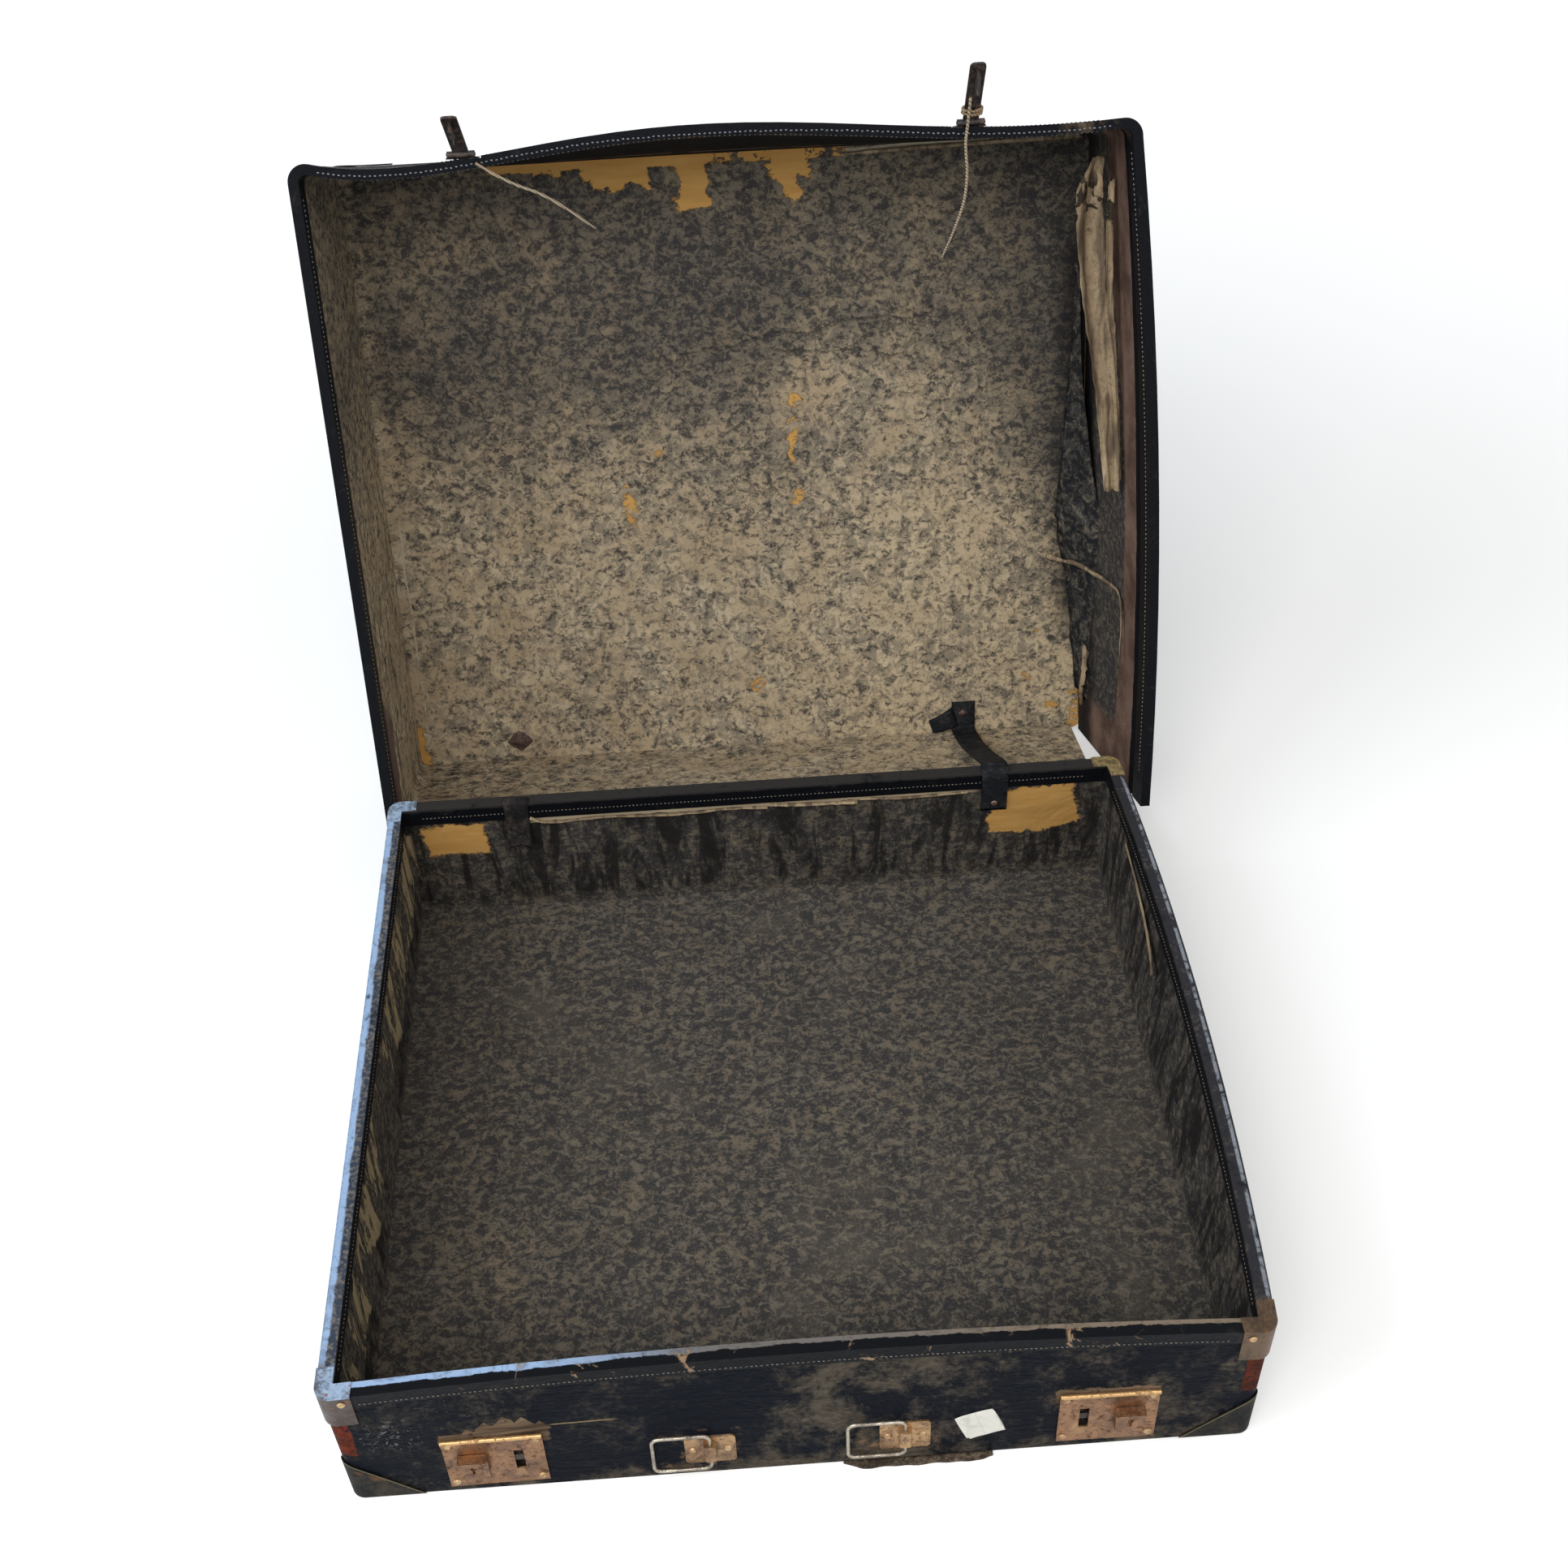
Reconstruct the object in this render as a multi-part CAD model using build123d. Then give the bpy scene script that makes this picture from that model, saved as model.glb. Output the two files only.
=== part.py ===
"""Old carrying case for a piano accordion, standing open on its underside.

A deep board base and a boxed lid that slips over the base's upper half. The lid turns on two hinges
behind the base, leans back past upright and is held there by a leather stay. Units are millimetres,
+X to the right as seen from the front, +Y to the back, +Z up, origin at the centre of the underside.
"""

import math
import os

from build123d import *

# Base shell, measured over its covering
base_width = 570.0
base_depth = 506.0
base_height = 122.0
base_corner_radius = 8.0
front_bow = -8.0
right_bow = 10.0

# Boards, covering and lining
covering_thickness = 0.8
lining_thickness = 0.6
glue_line = 0.05
wall_board = 6.4
floor_board = 6.0
lid_wall_board = 3.9
lid_panel_board = 4.5
binding_thickness = 0.9
binding_outer_height = 12.0
binding_inner_height = 16.0
lid_binding_inner_height = 20.0

# Lid, in its closed place
lid_rim_z = 71.0
lid_depth = 166.0
lid_corner_radius = 12.0
lid_clearance = 1.6
lid_open_angle = 107.5
lid_front_lean = 24.0
front_warp = [-24.0, 20.0, 32.0, -2.0, -6.0]
splay_middle = 21.0
splay_end = 23.0

# Hinges at the back
hinge_inset = 105.0
hinge_width = 50.0
hinge_knuckles = 5
knuckle_radius = 3.0
knuckle_gap = 0.4
hinge_pin_radius = 1.25
pin_clearance = 0.05
leaf_thickness = 1.5
leaf_height = 24.0
hinge_axis_out = 4.0
hinge_axis_drop = 3.5

# Rim caps and corner guards
cap_length = 20.0
cap_height = 30.0
cap_thickness = 0.8
guard_reach = 52.0
guard_thickness = 1.0
guard_gap = 0.2

# Locks, as seen from the front
lock_inset = 94.0
lock_z = 33.0
lock_plate_width = 62.0
lock_plate_height = 52.0
lock_plate_thickness = 1.2
lip_radius = 1.6
slot_inboard = 15.0
slot_width = 6.0
slot_height = 21.0
button_outboard = 13.5
button_width = 19.0
button_height = 20.0
button_reach = 5.0
button_travel = 6.0
button_gap = 0.3
stem_width = 5.0
stem_height = 5.6
case_width = 56.0
case_height = 25.0
case_depth = 5.2
case_wall = 0.7
bolt_height = 6.0
bolt_thickness = 1.6
bolt_tail = 20.0
bolt_tip = 18.0
spring_radius = 1.9
spring_wall = 0.5
fit_gap = 0.3

# Handle loops and their plates
loop_left_x = -58.0
loop_right_x = 64.0
loop_z = 27.0
loop_wire_radius = 1.2
loop_length = 36.0
loop_height = 36.0
loop_corner_radius = 5.0
handle_plate_width = 32.0
handle_plate_height = 28.0
handle_plate_thickness = 1.2
bridge_width = 8.0
bridge_length = 16.0

# Hasps on the lid's front
hasp_width = 11.0
hasp_thickness = 1.5
hasp_overlap = 12.0
hasp_standoff = 2.5
hasp_knuckle_radius = 2.4
hasp_pin_radius = 1.0
hasp_plate_width = 22.0
hasp_plate_height = 20.0
hasp_plate_thickness = 1.2
hasp_pivot_rise = 4.0
hasp_left_angle = 30.0
hasp_right_angle = 45.0
staple_thickness = 2.0
staple_height = 14.0
staple_depth = 4.0
eye_height = 8.0

# Stay straps
stay_inset = 97.0
stay_width = 21.0
stay_thickness = 1.5
stay_drop = 38.0
torn_stay_drop = 46.0

# Fasteners
rivet_head_radius = 2.6
rivet_head_height = 0.9
rivet_shank_radius = 1.2
washer_radius = 7.0
washer_thickness = 0.8

# Label, loose strips and strings
label_inset = 174.0
label_z = 33.0
label_width = 28.0
label_height = 31.0
label_turn = 27.0
label_thickness = 0.3
edge_strip_inset = 165.0
edge_strip_length = 95.0
edge_strip_reach = 7.0
edge_strip_thickness = 1.0
string_diameter = 2.2
string_left_points = [(-166.0, 416.0, 565.2), (-147.0, 411.1, 552.6), (-116.0, 408.4, 541.4), (-88.0, 406.9, 516.2)]
string_right_points = [(173.0, 408.8, 594.6), (173.0, 416.9, 572.0), (171.0, 413.7, 560.5), (174.0, 412.9, 535.4),
                       (170.0, 412.7, 507.3), (157.0, 413.5, 475.3)]
peeled_depth = 62.0
peeled_thickness = 0.8
peeled_reach = [(28.7, 34.0), (4.9, 33.0), (-0.4, 120.0), (-4.4, 210.0), (-7.4, 284.0), (5.7, 284.0), (15.7, 210.0),
                (26.7, 120.0), (33.7, 65.0)]

# Worked out from the sizes above
half_width = base_width / 2
half_depth = base_depth / 2
base_skin = covering_thickness + glue_line
base_inner = base_skin + wall_board + glue_line
base_wall = base_inner + lining_thickness
base_floor_top = base_skin + floor_board
lid_inner = base_skin + lid_wall_board + glue_line
lid_wall = lid_inner + lining_thickness
lid_top = lid_rim_z + lid_depth
lid_underside = lid_top - base_skin - lid_panel_board
leg = glue_line + binding_thickness
lid_room = leg + cap_thickness + lid_clearance + leg + lid_wall
lid_half_width = half_width + lid_room
lid_back = half_depth + lid_room
hinge_x = half_width - hinge_inset
hinge_y = half_depth + hinge_axis_out
hinge_z = lid_rim_z - hinge_axis_drop
lock_x = half_width - lock_inset
hasp_x = lock_x - slot_inboard
stay_x = half_width - stay_inset
label_x = half_width - label_inset
edge_strip_to = half_width - edge_strip_inset
rim_front = half_depth + leg + cap_thickness
rim_top = base_height + cap_thickness
rim_reach = math.hypot(hinge_y + rim_front, rim_top - hinge_z)
leaning_reach = rim_front + lid_front_lean * (rim_top - lid_rim_z) / lid_depth
lid_front = max(rim_reach - hinge_y, leaning_reach) + lid_clearance + leg + lid_wall
top_over = 2.0
least_radius = 1.0
far = 2000.0

lid_names = ("lid_", "hasp_", "hinge_lid_", "stay_lid_", "stay_washers", "peeled_")
nodes = {}


def slab(z0, z1, x0=-far, x1=far, y0=-far, y1=far):
    """Box between the given limits, used to cut layers to length."""
    size = (x1 - x0, y1 - y0, z1 - z0)
    return Pos((x0 + x1) / 2, (y0 + y1) / 2, (z0 + z1) / 2) * Box(*size)


def bowed_side(start, end, outward, bows):
    """One side of an outline: a line, or a curve pulled outwards by evenly spaced control points."""
    if not bows:
        return Line(start, end)
    points = [start]
    for index, bow in enumerate(bows, 1):
        share = index / (len(bows) + 1)
        x = start[0] + (end[0] - start[0]) * share + outward[0] * bow
        y = start[1] + (end[1] - start[1]) * share + outward[1] * bow
        points.append((x, y))
    return Bezier(*points, end)


def corner_arc(centre, radius, start_degrees):
    """Quarter circle, turning left from the given direction."""
    angles = [math.radians(start_degrees + turn) for turn in (0, 45, 90)]
    return ThreePointArc(*[(centre[0] + radius * math.cos(a), centre[1] + radius * math.sin(a)) for a in angles])


def outline(half_x, front, back, radius, offset, bows):
    """Closed rounded outline, moved outwards by offset, with a bow on any side."""
    edge = max(radius + offset, least_radius)
    inset = edge - offset
    x, y0, y1 = half_x - inset, -front + inset, back - inset
    sides = [
        bowed_side((-x, y0 - edge), (x, y0 - edge), (0, -1), bows.get("front")),
        corner_arc((x, y0), edge, -90),
        bowed_side((x + edge, y0), (x + edge, y1), (1, 0), bows.get("right")),
        corner_arc((x, y1), edge, 0),
        bowed_side((x, y1 + edge), (-x, y1 + edge), (0, 1), None),
        corner_arc((-x, y1), edge, 90),
        bowed_side((-x - edge, y1), (-x - edge, y0), (-1, 0), None),
        corner_arc((-x, y0), edge, 180),
    ]
    return make_face(sides)


def base_outline(offset, share):
    bows = {"front": [2 * front_bow * share], "right": [2 * right_bow * share]}
    return outline(half_width, half_depth, half_depth, base_corner_radius, offset, bows)


def lid_front_at(share):
    """Distance of the lid's leaning front from the middle: share is 1 at the rim and 0 above the panel."""
    return lid_front - lid_front_lean * (1 - share)


def lid_outline(offset, share):
    bows = {"front": [bow * share for bow in front_warp]}
    return outline(lid_half_width, lid_front_at(share), lid_back, lid_corner_radius, offset, bows)


def base_block(offset):
    """Everything inside the base's outline, moved outwards by offset."""
    top = base_height + top_over
    top_face = Pos(0, 0, top) * base_outline(offset, top / base_height)
    return loft([base_outline(offset, 0), top_face], ruled=True)


def lid_block(offset):
    """Everything inside the lid's outline with an unbroken right side, in the closed place."""
    rim_face = Pos(0, 0, lid_rim_z) * lid_outline(offset, 1)
    top_face = Pos(0, 0, lid_top + top_over) * lid_outline(offset, 0)
    return loft([rim_face, top_face], ruled=True)


base_blocks = {}
lid_blocks = {}


def base_ring(outer, inner):
    for offset in (outer, inner):
        if offset not in base_blocks:
            base_blocks[offset] = base_block(offset)
    return base_blocks[outer] - base_blocks[inner]


def lid_ring(outer, inner):
    for offset in (outer, inner):
        if offset not in lid_blocks:
            lid_blocks[offset] = lid_block(offset)
    return lid_blocks[outer] - lid_blocks[inner]


split_x = lid_half_width - lid_corner_radius


def right_layer(outer, inner):
    """Layer of the lid's burst right wall, from the front corner to its free end at the hinge."""
    faces = []
    for z, share in ((lid_rim_z, 1.0), (lid_top + top_over, 0.0)):
        paths = []
        y0, y1 = -lid_front_at(share) + lid_corner_radius, lid_back
        for offset in (outer, inner):
            edge = lid_corner_radius + offset
            corner = corner_arc((split_x, y0), edge, -90)
            start, end = (split_x + edge, y0), (split_x + edge + splay_end * share, y1)
            pull = (2 * splay_middle - splay_end / 2) * share
            side = Bezier(start, (split_x + edge + pull, (y0 + y1) / 2), end)
            paths.append((corner, side))
        closing = Line(paths[0][1] @ 1, paths[1][1] @ 1), Line(paths[1][0] @ 0, paths[0][0] @ 0)
        faces.append(Pos(0, 0, z) * make_face([*paths[0], closing[0], *paths[1], closing[1]]))
    return loft(faces, ruled=True)


hinge_axis = Axis((0, hinge_y, hinge_z), (1, 0, 0))


def opened(shape):
    """Turn a lid piece from its closed place to the open rest place."""
    return shape.rotate(hinge_axis, -lid_open_angle)


def front_plane(x, z):
    """Plane on the base's bowed front: x along the wall, y up, z outwards."""
    reach = half_width - base_corner_radius
    bulge = 1 - (x / reach) ** 2
    y = -half_depth - front_bow * bulge * z / base_height
    slope_x = 2 * front_bow * x / reach**2 * z / base_height
    slope_z = -front_bow * bulge / base_height
    return Plane((x, y, z), x_dir=(1, slope_x, 0), z_dir=(slope_x, -1, slope_z))


def block(x0, x1, y0, y1, z0, z1):
    return Pos((x0 + x1) / 2, (y0 + y1) / 2, (z0 + z1) / 2) * Box(x1 - x0, y1 - y0, z1 - z0)


def rivet(depth):
    """Domed rivet, its head on the plane z = 0 and its shank below."""
    dome = Pos(0, 0, -0.6 * rivet_head_radius) * Sphere(math.hypot(rivet_head_radius, 0.6 * rivet_head_radius))
    head = dome & block(-far, far, -far, far, 0, rivet_head_height)
    shank = Pos(0, 0, -depth / 2) * Cylinder(rivet_shank_radius, depth)
    return head + shank


def shank_hole(depth):
    return Pos(0, 0, -depth / 2) * Cylinder(rivet_shank_radius + glue_line, depth + glue_line)


def riveted(name, places, depth, pierced):
    """Add a group of rivets at the places and open their holes in what they go through."""
    nodes[name] = nodes.get(name, []) + [place * rivet(depth) for place in places]
    for place in places:
        hole = place * shank_hole(depth)
        for other in pierced:
            nodes[other] = [shape - hole for shape in nodes[other]]


def bedded(shape, names):
    """Press a fitting's seat into the soft layers under it."""
    for name in names:
        nodes[name] = [layer - shape for layer in nodes[name]]


def base_shell():
    """Floor, four walls, covering, lining and rim binding of the base."""
    rim = base_height - leg
    nodes["base_floor"] = [base_block(-base_inner) & slab(base_skin, base_floor_top)]
    boards = base_ring(-base_skin, -(base_skin + wall_board)) & slab(base_skin, rim)
    cut = half_width - base_skin - wall_board
    nodes["base_left_wall"] = [boards & slab(0, far, x1=-cut)]
    nodes["base_right_wall"] = [boards & slab(0, far, x0=cut)]
    between = boards & slab(0, far, x0=-cut + glue_line, x1=cut - glue_line)
    nodes["base_front_wall"] = [between & slab(0, far, y1=0)]
    nodes["base_back_wall"] = [between & slab(0, far, y0=0)]
    nodes["base_side_covering"] = [base_ring(0.0, -covering_thickness) & slab(covering_thickness, rim)]
    nodes["base_underside_covering"] = [base_block(0.0) & slab(0, covering_thickness)]
    lining = base_ring(-base_inner, -base_wall) & slab(base_floor_top, rim)
    sheet = base_block(-base_inner) & slab(base_floor_top + glue_line, base_floor_top + lining_thickness)
    nodes["base_lining"] = [(lining & slab(base_floor_top + glue_line, far)) + sheet]
    whole = base_ring(leg, -(base_wall + leg)) & slab(base_height - binding_inner_height, base_height)
    wall = base_ring(glue_line, -(base_wall + glue_line)) & slab(0, base_height - binding_thickness)
    low = base_height - binding_outer_height
    hem = (base_ring(leg, -covering_thickness)) & slab(0, low)
    nodes["base_rim_binding"] = [whole - wall - hem]


def corner_boxes(reach_x, reach_y):
    """Name, box and signs of the four corners of the base."""
    found = []
    for side, sx in (("left", -1), ("right", 1)):
        for end, sy in (("front", -1), ("back", 1)):
            x = sorted((sx * (half_width - reach_x), sx * far))
            y = sorted((sy * (half_depth - reach_y), sy * far))
            found.append((f"{end}_{side}", slab(0, far, x[0], x[1], y[0], y[1]), sx, sy))
    return found


def rim_caps():
    """Sheet-metal caps over the base's four rim corners."""
    shell = base_ring(leg + cap_thickness, leg + glue_line / 2) & slab(base_height - cap_height, base_height)
    top = base_ring(leg + cap_thickness, -(base_wall + leg)) & slab(base_height, base_height + cap_thickness)
    below = base_height - binding_outer_height
    nodes["base_rim_caps"] = []
    cap = shell + top
    for name, corner, sx, sy in corner_boxes(cap_length, cap_length):
        nodes["base_rim_caps"].append(cap & corner)
    side_room = half_width + leg + cap_thickness
    end_room = half_depth + leg + cap_thickness
    drop = (base_height + below) / 2
    for sy in (-1, 1):
        for sx in (-1, 1):
            inset = cap_length * 0.7
            plane = Plane((sx * (half_width - inset), sy * end_room, drop), x_dir=(-sy, 0, 0), z_dir=(0, sy, 0))
            wall = "base_front_wall" if sy < 0 else "base_back_wall"
            riveted("rim_cap_rivets", [plane.location], 4.0,
                    ["base_rim_caps", "base_rim_binding", "base_side_covering", wall])


def corner_wedge(x, y, z, sx, sy, sz, reach):
    """Pyramid that holds what lies within reach of a corner, cut off by a slanting plane."""
    over = 6.0
    start = Vector(x + sx * over, y + sy * over, z)
    size = reach + over
    tips = [start + Vector(-sx * size, 0, 0), start + Vector(0, -sy * size, 0), start + Vector(0, 0, sz * size)]
    ends = [(start, tips[0], tips[1]), (start, tips[1], tips[2]), (start, tips[2], tips[0]), tuple(tips)]
    return Solid(Shell([make_face(Polyline(*corners, close=True)) for corners in ends]))


def corner_guards():
    """Stitched corner guards round the base's lower corners and the lid's outer corners."""
    outer = base_ring(guard_thickness + guard_gap, guard_gap) & slab(covering_thickness, base_height)
    nodes["base_corner_guards"] = []
    for sx in (-1, 1):
        for sy in (-1, 1):
            wedge = corner_wedge(sx * half_width, sy * half_depth, 0, sx, sy, 1, guard_reach)
            nodes["base_corner_guards"].append(outer & wedge)
    outer = lid_ring(guard_thickness + guard_gap, guard_gap) & slab(lid_rim_z, lid_top, x1=split_x)
    torn = right_layer(guard_thickness + guard_gap, guard_gap) & slab(lid_rim_z, lid_top)
    guards = []
    for sx in (-1, 1):
        for y, sy in ((-lid_front_at(0), -1), (lid_back, 1)):
            wedge = corner_wedge(sx * lid_half_width, y, lid_top, sx, sy, -1, guard_reach)
            if sx < 0:
                guards.append(outer & wedge)
            elif sy < 0:
                guards.append((outer + torn) & wedge)
            else:
                guards.append(torn & wedge)
    nodes["lid_corner_guards"] = guards


def lid_shell():
    """Panel, four walls, covering, linings and rim binding of the lid; the right wall has burst loose."""
    rim = lid_rim_z + leg
    left_part = slab(lid_rim_z, lid_top, x1=split_x)
    panel = lid_block(-base_skin) & slab(lid_underside, lid_top - base_skin)
    boards = lid_ring(-base_skin, -(base_skin + lid_wall_board)) & left_part & slab(rim, lid_underside - glue_line)
    cut = lid_half_width - base_skin - lid_wall_board
    left = boards & slab(0, far, x1=-cut)
    between = boards & slab(0, far, x0=-cut + glue_line)
    right = right_layer(-base_skin, -(base_skin + lid_wall_board)) & slab(rim, lid_underside - glue_line)
    covering = lid_ring(0.0, -covering_thickness) & left_part & slab(rim, lid_top)
    torn = right_layer(0.0, -covering_thickness) & slab(rim, lid_top)
    sheet = lid_block(0.0) & slab(lid_top - covering_thickness, lid_top)
    lining = lid_ring(-lid_inner, -lid_wall) & left_part & slab(rim, lid_underside - glue_line)
    ceiling = lid_block(-lid_inner) & slab(lid_underside - lining_thickness, lid_underside - glue_line)
    right_lining = right_layer(-lid_inner, -lid_wall) & slab(rim, lid_underside - 2 * lining_thickness)
    inside = slab(lid_rim_z, lid_rim_z + lid_binding_inner_height)
    outside = slab(lid_rim_z, lid_rim_z + binding_outer_height)
    over = slab(lid_rim_z + binding_thickness, far)
    binding = (lid_ring(leg, -(lid_wall + leg)) & left_part & inside) - (
        lid_ring(glue_line, -(lid_wall + glue_line)) & over
    )
    binding -= lid_ring(leg, -covering_thickness) & slab(lid_rim_z + binding_outer_height, far)
    right_binding = (right_layer(leg, -(lid_wall + leg)) & inside) - (
        right_layer(glue_line, -(lid_wall + glue_line)) & over
    )
    right_binding -= right_layer(leg, -covering_thickness) & slab(lid_rim_z + binding_outer_height, far)
    shapes = {
        "lid_panel": panel,
        "lid_left_wall": left,
        "lid_front_wall": between & slab(0, far, y1=0),
        "lid_back_wall": between & slab(0, far, y0=0),
        "lid_right_wall": right,
        "lid_covering": covering + torn + sheet,
        "lid_lining": lining + ceiling,
        "lid_right_lining": right_lining,
        "lid_rim_binding": binding + right_binding,
    }
    for name, shape in shapes.items():
        nodes[name] = [shape]


def hinges():
    """Two butt hinges behind the case: leaves, knuckles, pins and rivets."""
    nodes["hinge_base_leaves"] = []
    nodes["hinge_lid_leaves"] = []
    nodes["hinge_pins"] = []
    step = hinge_width / hinge_knuckles
    bore = Rotation(0, 90, 0) * Cylinder(hinge_pin_radius + pin_clearance, hinge_width + 4)
    for x in (-hinge_x, hinge_x):
        axis = Pos(x, hinge_y, hinge_z)
        leaf = block(-hinge_width / 2, hinge_width / 2, half_depth - hinge_y + glue_line,
                     half_depth - hinge_y + leaf_thickness, -leaf_height, 0)
        seat = lid_back + leg + glue_line
        wrap = block(-hinge_width / 2, hinge_width / 2, seat - hinge_y, seat - hinge_y + leaf_thickness,
                     hinge_axis_drop - 2.0, leaf_height)
        web = block(-hinge_width / 2, hinge_width / 2, 0, seat - hinge_y + leaf_thickness,
                    hinge_axis_drop - 2.0, hinge_axis_drop - 0.6)
        fixed, moving = leaf, wrap + web
        for index in range(hinge_knuckles):
            centre = -hinge_width / 2 + (index + 0.5) * step
            knuckle = Pos(centre, 0, 0) * Rotation(0, 90, 0) * Cylinder(knuckle_radius, step - knuckle_gap)
            room = Pos(centre, 0, 0) * Box(step + knuckle_gap, 3 * knuckle_radius, 2 * knuckle_radius + 2)
            if index % 2:
                fixed = fixed - room
                moving = moving + knuckle
            else:
                moving = moving - room
                fixed = fixed + knuckle
        pin = Rotation(0, 90, 0) * Cylinder(hinge_pin_radius, hinge_width + 2)
        nodes["hinge_base_leaves"].append(axis * (fixed - bore))
        nodes["hinge_lid_leaves"].append(axis * (moving - bore))
        nodes["hinge_pins"].append(axis * pin)
        reach = [-hinge_width * 0.36, 0, hinge_width * 0.36]
        low = [Plane((x + dx, half_depth + leaf_thickness, hinge_z - leaf_height * 0.6), x_dir=(-1, 0, 0),
                     z_dir=(0, 1, 0)).location for dx in reach]
        riveted("hinge_base_rivets", low, 6.0, ["hinge_base_leaves", "base_side_covering", "base_back_wall"])
        high = [Plane((x + dx, seat + leaf_thickness, hinge_z + leaf_height * 0.72), x_dir=(-1, 0, 0),
                      z_dir=(0, 1, 0)).location for dx in reach]
        riveted("hinge_lid_rivets", high, 5.0,
                ["hinge_lid_leaves", "lid_rim_binding", "lid_covering", "lid_back_wall"])


def lock(side, sign):
    """One lock: plate, case, sliding button with its bolt, and the bolt's spring."""
    place = front_plane(sign * lock_x, lock_z).location
    half_w, half_h = lock_plate_width / 2, lock_plate_height / 2
    slot_u, button_u = -sign * slot_inboard, sign * button_outboard
    plate = block(-half_w, half_w, -half_h, half_h, glue_line, lock_plate_thickness)
    lip = Pos(0, half_h, lip_radius + glue_line) * Rotation(0, 90, 0) * Cylinder(lip_radius, lock_plate_width)
    slot = block(slot_u - slot_width / 2, slot_u + slot_width / 2, -slot_height / 2, slot_height / 2, -1, 3)
    window_in = button_u - sign * (stem_width / 2 + fit_gap)
    window_out = button_u + sign * (stem_width / 2 + fit_gap + button_travel)
    window = block(*sorted((window_in, window_out)), -stem_height / 2 - fit_gap, stem_height / 2 + fit_gap, -1, 3)
    nodes[f"lock_plate_{side}"] = [place * (plate + lip - slot - window)]
    outer = block(-case_width / 2, case_width / 2, -case_height / 2, case_height / 2, -case_depth, 0)
    inner = block(-case_width / 2 + case_wall, case_width / 2 - case_wall, -case_height / 2 + case_wall,
                  case_height / 2 - case_wall, -case_depth + case_wall, 1)
    nodes[f"lock_case_{side}"] = [place * (outer - inner)]
    pocket = block(-case_width / 2 - fit_gap, case_width / 2 + fit_gap, -case_height / 2 - fit_gap,
                   case_height / 2 + fit_gap, -case_depth - fit_gap, 3)
    bedded(place * pocket, ["base_side_covering", "base_front_wall"])
    bedded(place * block(-half_w - glue_line, half_w + glue_line, -half_h - glue_line, half_h + lip_radius, 0, 3),
           ["base_side_covering"])
    top = lock_plate_thickness + button_gap
    cover = block(button_u - button_width / 2, button_u + button_width / 2, -button_height / 2,
                  button_height / 2, top, top + button_reach)
    cover = fillet(cover.edges().filter_by(Axis.Z), 2.0)
    grip = block(button_u - button_width / 2 + 1, button_u + button_width / 2 - 1, button_height / 2 - 3,
                 button_height / 2, top + button_reach, top + button_reach + 1.6)
    keyhole = Pos(button_u, 1.5, top + button_reach) * Cylinder(1.7, 3.0)
    keyway = block(button_u - 0.8, button_u + 0.8, -4.5, 1.5, top + button_reach - 1.5, top + button_reach + 1)
    stem = block(button_u - stem_width / 2, button_u + stem_width / 2, -stem_height / 2, stem_height / 2,
                 -fit_gap - bolt_thickness / 2, top)
    nodes[f"lock_button_{side}"] = [place * (cover + grip - keyhole - keyway + stem)]
    tip_u, tail_u = slot_u - sign * (bolt_tip - slot_inboard), sign * bolt_tail
    bolt_top = -fit_gap
    bolt = block(*sorted((tip_u, tail_u)), -bolt_height / 2, bolt_height / 2, bolt_top - bolt_thickness, bolt_top)
    bolt -= block(button_u - stem_width / 2 - glue_line, button_u + stem_width / 2 + glue_line,
                  -stem_height / 2 - glue_line, stem_height / 2 + glue_line, bolt_top - bolt_thickness / 2 - glue_line, 1)
    nodes[f"lock_bolt_{side}"] = [place * bolt]
    end_u = sign * (case_width / 2 - case_wall - glue_line)
    length = abs(end_u - tail_u) - glue_line
    middle = (end_u + tail_u) / 2
    depth = bolt_top - spring_radius
    coil = Cylinder(spring_radius, length) - Cylinder(spring_radius - spring_wall, length + 1)
    nodes[f"lock_spring_{side}"] = [place * (Pos(middle, 0, depth) * Rotation(0, 90, 0) * coil)]
    corners = [place * Pos(u * (half_w - 4), v * (half_h - 5), lock_plate_thickness) for u in (-1, 1) for v in (-1, 1)]
    riveted("lock_rivets", corners, 5.0, [f"lock_plate_{side}", "base_side_covering", "base_front_wall"])


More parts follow.
